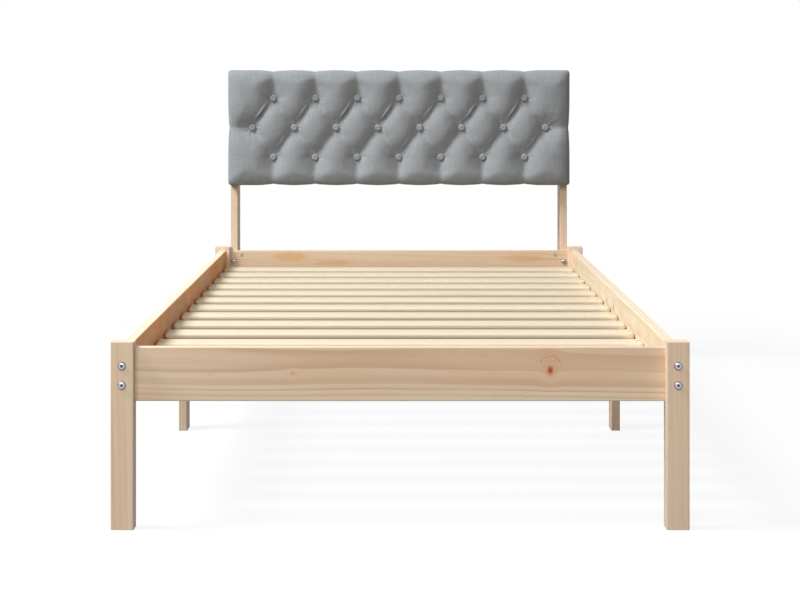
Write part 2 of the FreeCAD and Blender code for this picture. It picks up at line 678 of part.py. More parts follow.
side_bolts, side_nuts, end_bolts, end_nuts, end_dowels = [], [], [], [], []
post_bolts, post_nuts, brackets, bracket_screws = [], [], [], []
cams, rods, splice_dowels, mid_dowels, bearer_screws, slat_screws = [], [], [], [], [], []
nut_start = "(board_thickness - nut_length) / 2"
for side, sign in SIDES.items():
    inward, outward = ("-x", "+x") if side == "right" else ("+x", "-x")
    for rise in "+-":
        side_height = f"rail_middle {rise} side_bolt_gap / 2"
        end_height = f"rail_middle {rise} end_bolt_gap / 2"
        bracket_height = f"pad_middle {rise} bracket_gap / 2"
        nut_across = f"{sign} * (rail_inside + {nut_start})"
        for face, along, step in (("foot_face", "+y", "+"), ("frame_back", "-y", "-")):
            side_bolts.append((point(f"{sign} * rail_centre", face, side_height), along, outward))
            nut_line = f"{face} {step} (leg_size + nut_inset)"
            side_nuts.append((point(nut_across, nut_line, side_height), outward, "+y"))
        for line, face, nut_axis in (("mattress_foot - board_thickness / 2", "mattress_foot", "-y"),
                                     ("mattress_head + board_thickness / 2", "mattress_head", "+y")):
            seat = f"{sign} * (leg_outside - bolt_head_height)"
            end_bolts.append((point(seat, line, end_height), inward, "+y"))
            nut_line = f"{face} {nut_axis[0]} {nut_start}"
            nut_spot = point(f"{sign} * (leg_inside - nut_inset)", nut_line, end_height)
            end_nuts.append((nut_spot, nut_axis, "+x"))
        post_bolts.append((point(f"{sign} * post_centre", "mattress_head", side_height), "+y", "+x"))
        post_across = f"{sign} * (post_centre - board_thickness / 2 + {nut_start})"
        post_nuts.append((point(post_across, "frame_back + nut_inset", side_height), outward, "+y"))
        post_face = "post_centre - board_thickness / 2"
        up = "+z" if side == "right" else "-z"
        brackets.append((point(f"{sign} * ({post_face})", "frame_back", bracket_height), up, outward))
        for share in BRACKET_SHARES:
            head_face = f"{sign} * ({post_face} - bracket_thickness)"
            side_spot = point(head_face, f"frame_back + bracket_leg * {share}", bracket_height)
            back_line = bracket_screw_line(sign, share)
            back_spot = point(back_line, "frame_back + bracket_thickness", bracket_height)
            bracket_screws += [(side_spot, outward, "+y"), (back_spot, "-y", "+x")]
    for line in ("mattress_foot - board_thickness / 2", "mattress_head + board_thickness / 2"):
        dowel_start = f"{sign} * (leg_inside - dowel_length / 2)"
        end_dowels.append((point(dowel_start, line, "rail_middle"), outward, "+y"))
    for step in SIDES.values():
        cam_across = f"{sign} * (rail_inside + hole_clearance)"
        cam_spot = point(cam_across, f"splice + {step} * cam_inset", "cam_height")
        cams.append((cam_spot, outward, "+y"))
        dowel_base = "rail_base - dowel_length / 2"
        mid_line = f"splice + {step} * mid_leg_depth / 4"
        mid_dowels.append((point(f"{sign} * rail_centre", mid_line, dowel_base), "+z", "+x"))
    rods.append((point(f"{sign} * rail_centre", "splice - cam_inset", "cam_height"), "+y", "+x"))
    dowel_line = "splice - dowel_length / 2"
    splice_dowels.append((point(f"{sign} * rail_centre", dowel_line, "splice_dowel_height"), "+y", "+x"))
    screw_height = "bearer_base + bearer_height / 2"
    for line in gap_spots["foot"] + gap_spots["head"]:
        screw_across = f"{sign} * (rail_inside - board_thickness)"
        bearer_screws.append((point(screw_across, line, screw_height), outward, "+y"))
    for line in slat_lines:
        slat_screws.append((point(f"{sign} * bearer_centre", line, "slat_top"), "-z", "+x"))

group("side_rail_bolts", rail_bolt, side_bolts)
group("end_rail_bolts", sunk_bolt, end_bolts)
group("post_bolts", post_bolt, post_bolts)
group("headboard_brackets", angle, brackets)
group("bracket_screws", short_screw, bracket_screws)
group("side_rail_nuts", nut, side_nuts)
group("end_rail_nuts", nut, end_nuts)
group("post_nuts", nut, post_nuts)
group("splice_cams", cam, cams)
group("splice_rods", splice_rod, rods)
group("end_rail_dowels", dowel, end_dowels)
group("splice_dowels", dowel, splice_dowels)
group("mid_leg_dowels", dowel, mid_dowels)
group("bearer_screws", wood_screw, bearer_screws)
group("slat_screws", wood_screw, slat_screws)
button_spots = [(FreeCAD.Vector(across, size("board_front - button_floor"), height), "+y", "+x")
                for across, height in tuft_places()]
group("tufting_buttons", tuft_button, button_spots)

doc.recompute()
failed = [item.Name for item in doc.Objects if "Invalid" in item.State or "Error" in item.State]
failed += [node.Label for node in nodes if node.Shape.isNull() or not node.Shape.isValid()]
if failed:
    raise RuntimeError("not built: " + ", ".join(failed))
os.makedirs("parts", exist_ok=True)
for node in nodes:
    node.Shape.exportStep(f"parts/{node.Label}.step")
    print(node.Label, len(node.Shape.Solids), "solids", round(node.Shape.Volume), "mm3")
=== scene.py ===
import math
import bmesh
import bpy
import numpy as np
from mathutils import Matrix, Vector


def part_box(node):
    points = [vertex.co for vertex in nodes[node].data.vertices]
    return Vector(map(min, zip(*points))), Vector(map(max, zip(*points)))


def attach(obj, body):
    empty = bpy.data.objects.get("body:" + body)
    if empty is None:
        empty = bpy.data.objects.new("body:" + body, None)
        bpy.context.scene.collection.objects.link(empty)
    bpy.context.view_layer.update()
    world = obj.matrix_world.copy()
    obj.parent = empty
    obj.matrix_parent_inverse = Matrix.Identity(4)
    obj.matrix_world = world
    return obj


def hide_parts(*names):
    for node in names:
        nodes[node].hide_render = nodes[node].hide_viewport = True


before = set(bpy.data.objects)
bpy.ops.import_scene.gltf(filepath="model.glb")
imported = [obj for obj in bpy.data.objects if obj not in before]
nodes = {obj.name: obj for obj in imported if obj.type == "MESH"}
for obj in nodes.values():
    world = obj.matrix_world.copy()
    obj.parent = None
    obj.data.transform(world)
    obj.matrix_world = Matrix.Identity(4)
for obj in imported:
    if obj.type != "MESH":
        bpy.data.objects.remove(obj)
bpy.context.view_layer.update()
print("frame loaded:", len(nodes), "pieces")


def tone(red, green, blue):  # a screen colour, 0 to 255, as the linear colour that a shader takes
    share = np.array([red, green, blue]) / 255
    linear = np.where(share <= 0.04045, share / 12.92, ((share + 0.055) / 1.055) ** 2.4)
    return (*linear.tolist(), 1.0)


# short hands for node trees

def place(tree, kind, sockets=None, **settings):  # adds a node, sets it up, links or fills its sockets
    node = tree.nodes.new(kind)
    for key, value in settings.items():
        setattr(node, key, value)
    for socket, value in (sockets or {}).items():
        if isinstance(value, bpy.types.NodeSocket):
            tree.links.new(value, node.inputs[socket])
        else:
            node.inputs[socket].default_value = value
    return node


def maths(tree, operation, *values):
    return place(tree, "ShaderNodeMath", dict(enumerate(values)), operation=operation).outputs[0]


def weighted(tree, *pairs, start=0.0):  # start plus the sum of each value times its weight
    for value, weight in pairs:
        start = maths(tree, "MULTIPLY_ADD", value, weight, start)
    return start


def product(tree, first, *others):
    for other in others:
        first = maths(tree, "MULTIPLY", first, other)
    return first


def vectors(tree, operation, first, second):
    return place(tree, "ShaderNodeVectorMath", {0: first, 1: second}, operation=operation).outputs[0]


def scaled(tree, vector, factor):
    return place(tree, "ShaderNodeVectorMath", {0: vector, 3: factor}, operation="SCALE").outputs[0]


def lengthOf(tree, vector):
    return place(tree, "ShaderNodeVectorMath", {0: vector}, operation="LENGTH").outputs["Value"]


def split(tree, vector):
    return place(tree, "ShaderNodeSeparateXYZ", {0: vector}).outputs


def objectCoords(tree):
    return tree.nodes.new("ShaderNodeTexCoord").outputs["Object"]


def ramp(tree, value, low, high, start=0.0, end=1.0):  # smooth step from start to end
    sockets = {0: value, 1: low, 2: high, 3: start, 4: end}
    return place(tree, "ShaderNodeMapRange", sockets, interpolation_type="SMOOTHSTEP").outputs[0]


def mixed(tree, share, first, second, kind="MIX"):
    sockets = {0: share, 6: first, 7: second}
    return place(tree, "ShaderNodeMix", sockets, data_type="RGBA", blend_type=kind).outputs[2]


def noiseOn(tree, vector, stretch, detail, roughness):  # noise on stretched coordinates
    stretched = vectors(tree, "MULTIPLY", vector, stretch)
    sockets = {"Vector": stretched, "Scale": 1.0, "Detail": detail, "Roughness": roughness}
    return place(tree, "ShaderNodeTexNoise", sockets).outputs


def noise(tree, vector, stretch, detail=2.0, roughness=0.5):  # a value, 0 to 1
    return noiseOn(tree, vector, stretch, detail, roughness)[0]


def noiseOffset(tree, vector, stretch, detail):  # a vector round zero
    return vectors(tree, "SUBTRACT", noiseOn(tree, vector, stretch, detail, 0.5)[1], (0.5, 0.5, 0.5))


def newGroup(name, asked, given):
    group = bpy.data.node_groups.new(name, "ShaderNodeTree")
    kinds = {"v": "NodeSocketVector", "f": "NodeSocketFloat", "c": "NodeSocketColor"}
    for label, kind in asked:
        group.interface.new_socket(label, in_out="INPUT", socket_type=kinds[kind])
    for label, kind in given:
        group.interface.new_socket(label, in_out="OUTPUT", socket_type=kinds[kind])
    return group, group.nodes.new("NodeGroupInput").outputs, group.nodes.new("NodeGroupOutput").inputs


def useGroup(tree, group, sockets):
    return place(tree, "ShaderNodeGroup", sockets, node_tree=group).outputs


def newMaterial(name):
    material = bpy.data.materials.new(name)
    material.use_nodes = True
    tree = material.node_tree
    return material, tree, tree.nodes["Principled BSDF"]


def surface(tree, shader, colour, roughness, height, strength, distance):  # colour, roughness and bump of a finish
    tree.links.new(colour, shader.inputs["Base Color"])
    tree.links.new(roughness, shader.inputs["Roughness"])
    bump = place(tree, "ShaderNodeBump", {"Height": height, "Strength": strength, "Distance": distance})
    tree.links.new(bump.outputs[0], shader.inputs["Normal"])


def dress(material, *pieces):  # a finish on CAD pieces
    for node in pieces:
        nodes[node].material_slots[0].material = material


def addObject(name, data):
    thing = bpy.data.objects.new(name, data)
    bpy.context.scene.collection.objects.link(thing)
    return thing


# wood: stretches are noise steps per metre (across, through, along the grain)

pineFigure = {
    "bendStretch": (4.0, 4.0, 1.1), "fadeStretch": (18.0, 18.0, 2.3), "patchStretch": (26.0, 26.0, 1.6),
    "fibreStretch": (1100.0, 1100.0, 16.0), "streakStretch": (260.0, 260.0, 3.0), "fleckStretch": (620.0, 620.0, 42.0),
    "yearPace": 0.37, "yearSpread": 2.2, "yearLeast": 0.25, "yearMore": 0.75,
    "lateRise": (0.3, 0.88), "lateFall": (1.0, 0.9), "fadeRange": (0.25, 0.65, 0.35, 1.0),
    "patchRange": (0.35, 0.7), "fleckRange": (0.69, 0.76),
    "fibreShade": 0.12, "streakShade": 0.14, "shadeStart": -0.05, "fleckShade": 0.35,
    "rough": 0.46, "fibreRough": 0.16, "lateRough": -0.1,
    "fibreHeight": 0.5, "lateHeight": 0.6, "fleckHeight": -0.4,
}


def makePineGrain(figure):
    # ring count = distance from the heart line (local Z) / ring width; slow noise bends the heart line,
    # and each ring goes slowly from pale early wood to its late line, then starts pale again
    group, ask, give = newGroup(
        "pineGrain",
        [("Vector", "v"), ("Ring Width", "f"), ("Wander", "f"), ("Lines", "f"), ("Patches", "f"),
         ("Pale", "c"), ("Late", "c"), ("Blush", "c")],
        [("Color", "c"), ("Roughness", "f"), ("Height", "f")])
    tree = group.nodes.id_data
    bend = scaled(tree, noiseOffset(tree, ask["Vector"], figure["bendStretch"], 1.0), ask["Wander"])
    bent = vectors(tree, "ADD", ask["Vector"], bend)
    radius = lengthOf(tree, vectors(tree, "MULTIPLY", bent, (1.0, 1.0, 0.0)))
    count = maths(tree, "DIVIDE", radius, ask["Ring Width"])
    pace = {"W": maths(tree, "MULTIPLY", count, figure["yearPace"]), "Scale": 1.0, "Detail": 1.0}
    years = place(tree, "ShaderNodeTexNoise", pace, noise_dimensions="1D").outputs[0]
    count = maths(tree, "MULTIPLY_ADD", years, figure["yearSpread"], count)
    part = maths(tree, "FRACT", count)
    whole = {"W": maths(tree, "FLOOR", count)}
    year = place(tree, "ShaderNodeTexWhiteNoise", whole, noise_dimensions="1D").outputs[0]
    strength = maths(tree, "MULTIPLY_ADD", year, figure["yearMore"], figure["yearLeast"])
    fade = ramp(tree, noise(tree, ask["Vector"], figure["fadeStretch"], 1.0), *figure["fadeRange"])
    rise, fall = ramp(tree, part, *figure["lateRise"]), ramp(tree, part, *figure["lateFall"])
    late = product(tree, rise, fall, strength, ask["Lines"], fade)
    patch = ramp(tree, noise(tree, bent, figure["patchStretch"], 2.0, 0.6), *figure["patchRange"])
    fibre = noise(tree, bent, figure["fibreStretch"], 2.0, 0.6)
    streak = noise(tree, bent, figure["streakStretch"], 2.0, 0.6)
    fleck = ramp(tree, noise(tree, bent, figure["fleckStretch"], 1.0), *figure["fleckRange"])
    colour = mixed(tree, product(tree, patch, ask["Patches"]), ask["Pale"], ask["Blush"])
    colour = mixed(tree, late, colour, ask["Late"])
    shade = weighted(tree, (fibre, figure["fibreShade"]), (streak, figure["streakShade"]), start=figure["shadeStart"])
    colour = mixed(tree, shade, colour, mixed(tree, 1.0, colour, ask["Late"], "MULTIPLY"))
    colour = mixed(tree, product(tree, fleck, figure["fleckShade"]), colour, ask["Late"])
    rough = weighted(tree, (fibre, figure["fibreRough"]), (late, figure["lateRough"]), start=figure["rough"])
    height = weighted(tree, (fibre, figure["fibreHeight"]), (late, figure["lateHeight"]))
    height = weighted(tree, (fleck, figure["fleckHeight"]), start=height)
    tree.links.new(colour, give["Color"])
    tree.links.new(rough, give["Roughness"])
    tree.links.new(height, give["Height"])
    return group


knotForm = {
    "through": 0.12, "raggedStretch": (210.0, 210.0, 210.0), "ragged": 0.9, "pull": 0.85,
    "heartRange": (1.15, 0.35), "haloRange": (1.1, 0.1),
    "swirlGap": 0.42, "lineRange": (-0.5, 1.0), "breakStretch": (120.0, 40.0, 75.0), "breakRange": (0.36, 0.6),
    "aboveRange": (-0.3, -0.8), "swirlStart": (0.55, 0.8), "swirlEnd": (1.8, 1.0),
    "driftStretch": (95.0, 95.0, 9.0), "streakRange": (0.6, 1.25),
}


def makeKnotFlow(form):
    # near a knot the distance across the grain shrinks: x' = k + (x - k)(1 - pull * exp(-(d / reach)^2)),
    # so the rings part and run round it; d is the distance from the knot on the board's face
    group, ask, give = newGroup(
        "knotFlow", [("Vector", "v"), ("Knot", "v"), ("Core", "f"), ("Reach", "f"), ("Along", "f")],
        [("Vector", "v"), ("Heart", "f"), ("Halo", "f"), ("Swirl", "f")])
    tree = group.nodes.id_data
    offset = vectors(tree, "SUBTRACT", ask["Vector"], ask["Knot"])
    squeeze = place(tree, "ShaderNodeCombineXYZ", {0: 1.0, 1: form["through"], 2: ask["Along"]}).outputs[0]
    ragged = noiseOffset(tree, offset, form["raggedStretch"], 2.0)
    ragged = scaled(tree, ragged, product(tree, ask["Core"], form["ragged"]))
    away = lengthOf(tree, vectors(tree, "ADD", vectors(tree, "MULTIPLY", offset, squeeze), ragged))
    near = maths(tree, "DIVIDE", away, ask["Reach"])
    pull = maths(tree, "EXPONENT", product(tree, near, near, -1.0))
    shift = scaled(tree, vectors(tree, "MULTIPLY", offset, (-form["pull"], 0.0, 0.0)), pull)
    tree.links.new(vectors(tree, "ADD", ask["Vector"], shift), give["Vector"])
    tree.links.new(ramp(tree, maths(tree, "DIVIDE", away, ask["Core"]), *form["heartRange"]), give["Heart"])
    tree.links.new(ramp(tree, near, *form["haloRange"]), give["Halo"])
    # swirl: broken ring lines round the knot, cos(2 pi near / gap), on its upper side
    waves = maths(tree, "COSINE", product(tree, near, 2 * math.pi / form["swirlGap"]))
    broken = ramp(tree, noise(tree, offset, form["breakStretch"], 2.0, 0.6), *form["breakRange"])
    above = ramp(tree, maths(tree, "DIVIDE", split(tree, offset)[0], ask["Reach"]), *form["aboveRange"])
    begin, end = ramp(tree, near, *form["swirlStart"]), ramp(tree, near, *form["swirlEnd"])
    swirl = product(tree, ramp(tree, waves, *form["lineRange"]), broken, above, begin, end)
    tree.links.new(swirl, give["Swirl"])
    return group


pineGrain = makePineGrain(pineFigure)
knotFlow = makeKnotFlow(knotForm)

pineLook = {
    "pale": tone(224, 205, 179), "late": tone(182, 138, 101), "blush": tone(218, 186, 157),
    "ringWidth": 0.0075, "wander": 0.03, "lines": 0.42, "patches": 0.75,
    "bump": 0.18, "bumpDepth": 0.0004, "refraction": 1.45,
    "paintedShadeTone": tone(255, 181, 80), "paintedShadeDepth": 0.004, "paintedShadeAmount": 1.0,
    "cloudStretch": (30.0, 8.0, 13.0), "cloudRange": (0.32, 0.66, 0.78, 1.0),
    "knotHeart": tone(168, 72, 38), "knotHalo": tone(214, 152, 112),
}
slatLook = dict(
    pineLook, pale=tone(216, 203, 179), late=tone(194, 170, 136), blush=tone(213, 196, 168),
    ringWidth=0.0055, lines=0.35, patches=0.5)
paleLook = dict(pineLook, pale=tone(240, 224, 198), blush=tone(236, 208, 176))
legLook = dict(pineLook, lines=0.24, patches=0.6)
honeyLook = dict(pineLook, pale=tone(231, 216, 188), blush=tone(229, 209, 175), late=tone(200, 160, 112))
dowelLook = dict(
    pineLook, pale=tone(214, 182, 140), late=tone(186, 146, 104), blush=tone(208, 172, 132), ringWidth=0.003)
footLook = dict(pineLook, lines=0.62)
streakLook = dict(
    pineLook, pale=tone(217, 195, 165), blush=tone(211, 178, 145), lines=0.6, knotHalo=tone(202, 154, 90))

grainTurns = {"X": (0.0, -math.pi / 2, 0.0), "Y": (math.pi / 2, 0.0, 0.0), "Z": (0.0, 0.0, 0.0)}  # that axis to local Z


def turned(grain, point):  # the same turn as the Mapping node makes
    x, y, z = point
    return np.array({"X": (-z, y, x), "Y": (x, -z, y), "Z": (x, y, z)}[grain])


def finishPine(tree, shader, vector, look, knots=(), paintedShade=None):
    flows = []
    for knot in knots:
        flow = useGroup(tree, knotFlow, {
            "Vector": vector, "Knot": knot["at"], "Core": knot["core"], "Reach": knot["reach"], "Along": knot["along"]})
        vector = flow["Vector"]
        flows.append((flow, knot))
    wood = useGroup(tree, pineGrain, {
        "Vector": vector, "Ring Width": look["ringWidth"], "Wander": look["wander"], "Lines": look["lines"],
        "Patches": look["patches"], "Pale": look["pale"], "Late": look["late"], "Blush": look["blush"]})
    colour = wood["Color"]
    for flow, knot in flows:
        share = product(tree, flow["Halo"], knot["stain"])
        if knot.get("streak"):  # its outline wanders and shows the grain
            drift = noise(tree, vector, knotForm["driftStretch"], 3.0, 0.6)
            edge = maths(tree, "ADD", flow["Halo"], drift)
            share = ramp(tree, edge, *knotForm["streakRange"], 0.0, knot["stain"])
        colour = mixed(tree, share, colour, look["knotHalo"])
        if knot.get("swirl"):
            colour = mixed(tree, product(tree, flow["Swirl"], knot["swirl"]), colour, look["late"])
        colour = mixed(tree, product(tree, flow["Heart"], knot["dark"]), colour, look["knotHeart"])
    if paintedShade:  # painted shade with warm bounce light towards the board's shaded inner face
        colour = mixed(tree, paintedShade, colour, look["paintedShadeTone"], "MULTIPLY")
    surface(tree, shader, colour, wood["Roughness"], wood["Height"], look["bump"], look["bumpDepth"])
    shader.inputs["IOR"].default_value = look["refraction"]


def pineBoard(node, grain, heart, look=pineLook, lean=0.0, knots=(), shadedFace=None):
    # one board's own material: grain is the axis it runs along, heart the heart line's offset from the board's middle
    # (across, through, along), lean its slope in degrees and shadedFace the x of a face that gets painted warm shade
    low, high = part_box(node)
    shift = np.array(heart) - turned(grain, np.array((low + high) / 2))
    material, tree, shader = newMaterial("pine_" + node)
    coords = objectCoords(tree)
    turn = {"Vector": coords, "Rotation": grainTurns[grain], "Location": shift.tolist()}
    mapped = place(tree, "ShaderNodeMapping", turn).outputs[0]
    slope = math.radians(lean)
    if lean:
        mapped = place(tree, "ShaderNodeMapping", {"Vector": mapped, "Rotation": (0.0, slope, 0.0)}).outputs[0]
    cos, sin = math.cos(slope), math.sin(slope)
    tilt = np.array([[cos, 0, sin], [0, 1, 0], [-sin, 0, cos]])
    placed = [dict(knot, at=(tilt @ (turned(grain, knot["at"]) + shift)).tolist()) for knot in knots]
    paintedShade = None
    if shadedFace is not None:
        # painted shade: the face is darkened and warmed in cloudy patches, standing in for its shade and bounce light
        cloudy = ramp(tree, noise(tree, coords, look["cloudStretch"], 3.0, 0.6), *look["cloudRange"])
        depth = ramp(tree, split(tree, coords)[0], shadedFace - look["paintedShadeDepth"], shadedFace, 0.0, look["paintedShadeAmount"])
        paintedShade = product(tree, depth, cloudy)
    finishPine(tree, shader, mapped, look, placed, paintedShade)
    dress(material, node)


footKnots = [
    {"at": (0.2495, -1.042, 0.2612), "core": 0.0078, "reach": 0.019, "stain": 0.7, "dark": 1.0, "along": 1.25,
     "swirl": 0.8},
    {"at": (0.2465, -1.042, 0.2795), "core": 0.002, "reach": 0.014, "stain": 0.3, "dark": 0.0, "along": 0.62},
    {"at": (-0.178, -1.042, 0.2565), "core": 0.0022, "reach": 0.008, "stain": 0.3, "dark": 0.5, "along": 0.62},
]
headStreaks = [dict(spot, core=0.002, dark=0.0, streak=True) for spot in (  # resin streaks along the grain
    {"at": (-0.279, 0.967, 0.283), "reach": 0.017, "stain": 0.6, "along": 0.25},
    {"at": (-0.168, 0.967, 0.268), "reach": 0.012, "stain": 0.4, "along": 0.17},
    {"at": (0.327, 0.967, 0.279), "reach": 0.016, "stain": 0.42, "along": 0.2},
)]
pineBoard("foot_rail", "X", (0.03, 0.062, 0.35), footLook, lean=-1.2, knots=footKnots)
pineBoard("head_rail", "X", (-0.02, 0.045, 2.1), streakLook, lean=-0.9, knots=headStreaks)
legHearts = {
    "front_leg_left": (0.045, 0.05, 0.2), "front_leg_right": (-0.05, 0.04, 1.7),
    "rear_leg_left": (0.04, -0.06, 3.1), "rear_leg_right": (-0.06, 0.05, 4.4),
}
for node, heart in legHearts.items():
    pineBoard(node, "Z", heart, legLook)
postHearts = {
    "mid_leg_left": (0.05, 0.03, 5.2), "mid_leg_right": (-0.04, -0.05, 6.6),
    "headboard_post_left": (0.05, 0.03, 7.3), "headboard_post_right": (-0.045, 0.04, 8.2),
}
for node, heart in postHearts.items():
    pineBoard(node, "Z", heart)
sideHearts = {
    "side_rail_left_foot": (0.05, 0.02, 9.0), "side_rail_left_head": (0.05, -0.01, 10.3),
    "side_rail_right_foot": (-0.05, 0.02, 11.6), "side_rail_right_head": (-0.05, -0.01, 12.9),
}
for node, heart in sideHearts.items():
    if "left" in node:  # painted warm shade on its inner face, which faces away from the key light
        pineBoard(node, "Y", heart, paleLook, lean=0.5, shadedFace=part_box(node)[1].x)
    else:
        pineBoard(node, "Y", heart, honeyLook, lean=0.5)
bearerHearts = {
    "bearer_left_foot": (0.03, -0.05, 15.0), "bearer_left_head": (0.03, -0.05, 16.1),
    "bearer_right_foot": (0.03, -0.05, 17.2), "bearer_right_head": (0.03, -0.05, 18.3),
}
for node, heart in bearerHearts.items():
    pineBoard(node, "Y", heart)

# how far the slats' pieces of grain lie apart, and how far the heart line is below them
slatPick = {"across": 0.09, "through": 0.06, "along": 30.0, "below": 0.02}


def slatRow(slats, look, pick):
    # one material for the row: the slat's number is the step along the bed, and each slat takes its own piece of grain
    low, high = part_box(slats[0])
    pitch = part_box(slats[1])[0].y - low.y
    middle = (low + high) / 2
    material, tree, shader = newMaterial("slat_pine")
    x, y, z = split(tree, objectCoords(tree))[:3]
    gapMiddle = low.y - (pitch - (high.y - low.y)) / 2
    count = maths(tree, "FLOOR", maths(tree, "DIVIDE", maths(tree, "SUBTRACT", y, gapMiddle), pitch))
    seed = {"W": maths(tree, "ADD", count, 0.5)}
    own = place(tree, "ShaderNodeTexWhiteNoise", seed, noise_dimensions="1D").outputs[1]
    own = place(tree, "ShaderNodeSeparateColor", {0: own}).outputs
    across = maths(tree, "SUBTRACT", weighted(tree, (count, -pitch), start=y), middle.y)
    across = weighted(tree, (maths(tree, "SUBTRACT", own[0], 0.5), pick["across"]), start=across)
    through = maths(tree, "ADD", z, weighted(tree, (own[1], pick["through"]), start=pick["below"] - middle.z))
    along = weighted(tree, (own[2], pick["along"]), start=x)
    vector = place(tree, "ShaderNodeCombineXYZ", {0: across, 1: through, 2: along}).outputs[0]
    finishPine(tree, shader, vector, look)
    dress(material, *slats)


slatRow([f"slat_{count:02d}" for count in range(1, 14)], slatLook, slatPick)
dowelGrain = {"end_rail_dowels": "X", "splice_dowels": "Y", "mid_leg_dowels": "X"}
for node, grain in dowelGrain.items():
    pineBoard(node, grain, (0.02, 0.01, 20.0), dowelLook)
print("wood: boards, slats and dowels")


# metal fittings

steelForm = {
    "scratchStretch": (2400.0, 900.0, 2400.0), "grimeStretch": (170.0, 170.0, 170.0), "grimeRange": (0.38, 0.72),
    "cells": 420.0, "grimeShade": 0.35, "scratchRough": 0.14, "grimeRough": 0.1, "scratchHeight": 0.5,
}


def makeSteelMarks(form):
    # fine marks: noise stretched round the fitting for turned steel, with cell spangle for zinc
    group, ask, give = newGroup(
        "steelMarks", [("Vector", "v"), ("Bright", "c"), ("Dull", "c"), ("Spangle", "f"), ("Rough", "f")],
        [("Color", "c"), ("Roughness", "f"), ("Height", "f")])
    tree = group.nodes.id_data
    scratch = noise(tree, ask["Vector"], form["scratchStretch"], 3.0, 0.65)
    grime = ramp(tree, noise(tree, ask["Vector"], form["grimeStretch"], 3.0), *form["grimeRange"])
    cells = place(tree, "ShaderNodeTexVoronoi", {"Vector": ask["Vector"], "Scale": form["cells"]}).outputs[1]
    spangle = product(tree, place(tree, "ShaderNodeSeparateColor", {0: cells}).outputs[0], ask["Spangle"])
    share = weighted(tree, (grime, form["grimeShade"]), start=spangle)
    rough = weighted(tree, (scratch, form["scratchRough"]), (grime, form["grimeRough"]), start=ask["Rough"])
    tree.links.new(mixed(tree, share, ask["Bright"], ask["Dull"]), give["Color"])
    tree.links.new(rough, give["Roughness"])
    tree.links.new(weighted(tree, (scratch, form["scratchHeight"]), start=spangle), give["Height"])
    return group


steelMarks = makeSteelMarks(steelForm)
boltLook = {
    "bright": tone(186, 188, 193), "dull": tone(132, 134, 139), "spangle": 0.0, "rough": 0.16,
    "bump": 0.05, "bumpDepth": 0.0002,
    "shade": tone(44, 44, 47), "paintedRimShadeShare": 0.9, "shadeStart": 0.0037, "paintedRimShadeEnd": 0.0027,  # painted shade at the rim and in the socket, between these heights over the seat
}
zincLook = {
    "bright": tone(176, 178, 181), "dull": tone(120, 124, 130), "spangle": 0.35, "rough": 0.28,
    "bump": 0.12, "bumpDepth": 0.0002,
}
camLook = dict(zincLook, bright=tone(150, 138, 124), dull=tone(92, 83, 74))


def fitting(name, look, pieces, seat=None):  # heads seated at that y get painted shade at the rim and in the socket
    material, tree, shader = newMaterial(name)
    coords = objectCoords(tree)
    steel = useGroup(tree, steelMarks, {
        "Vector": coords, "Bright": look["bright"], "Dull": look["dull"], "Spangle": look["spangle"],
        "Rough": look["rough"]})
    colour = steel["Color"]
    if seat is not None:
        # painted shade: darker towards the wood where the head meets the board, and in the recessed socket
        start, end = seat - look["shadeStart"], seat - look["paintedRimShadeEnd"]
        share = ramp(tree, split(tree, coords)[1], start, end, 0.0, look["paintedRimShadeShare"])
        colour = mixed(tree, share, colour, look["shade"])
    surface(tree, shader, colour, steel["Roughness"], steel["Height"], look["bump"], look["bumpDepth"])
    shader.inputs["Metallic"].default_value = 1.0
    dress(material, *pieces)


fitting("bolt_steel", boltLook, ("side_rail_bolts",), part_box("front_leg_left")[0].y)
fitting("post_bolt_steel", boltLook, ("post_bolts",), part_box("head_rail")[0].y)
fitting("end_bolt_steel", boltLook, ("end_rail_bolts",))
fitting("cam_steel", camLook, ("splice_cams",))
fitting("zinc_steel", zincLook, ("side_rail_nuts", "end_rail_nuts", "post_nuts", "splice_rods",
                                 "headboard_brackets", "bracket_screws", "bearer_screws", "slat_screws"))
print("metal: bolts, nuts, cams, brackets and screws")


# headboard core and its back cloth

plyLook = {
    "face": tone(214, 188, 150), "core": tone(176, 140, 100), "layers": 5, "grainStretch": (9.0, 300.0, 420.0),
    "coreShade": 0.5, "grainShade": 0.5, "rough": 0.55, "grainRough": 0.2,
}


def plyBoard(node, look):
    # veneers: the layer number is the depth through the board times the count, and every other layer shows end grain
    low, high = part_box(node)
    material, tree, shader = newMaterial("headboard_ply")
    coords = objectCoords(tree)
    depth = maths(tree, "SUBTRACT", split(tree, coords)[1], low.y)
    layer = maths(tree, "FLOOR", product(tree, depth, look["layers"] / (high.y - low.y)))
    grain = noise(tree, coords, look["grainStretch"], 3.0, 0.6)
    share = weighted(tree, (maths(tree, "MODULO", layer, 2.0), look["coreShade"]), (grain, look["grainShade"]))
    tree.links.new(mixed(tree, share, look["face"], look["core"]), shader.inputs["Base Color"])
    tree.links.new(weighted(tree, (grain, look["grainRough"]), start=look["rough"]), shader.inputs["Roughness"])
    dress(material, node)


plyBoard("headboard_board", plyLook)

backLook = {
    "dark": tone(30, 30, 32), "light": tone(58, 58, 61), "dotPitch": 0.0032, "dotRange": (0.35, 0.75),
    "fibreStretch": (1500.0, 1500.0, 1500.0), "driftStretch": (14.0, 14.0, 14.0),
    "shade": 0.5, "dotShade": -0.35, "rough": 0.88, "dotRough": -0.2, "bump": 0.5, "bumpDepth": 0.0003,
}


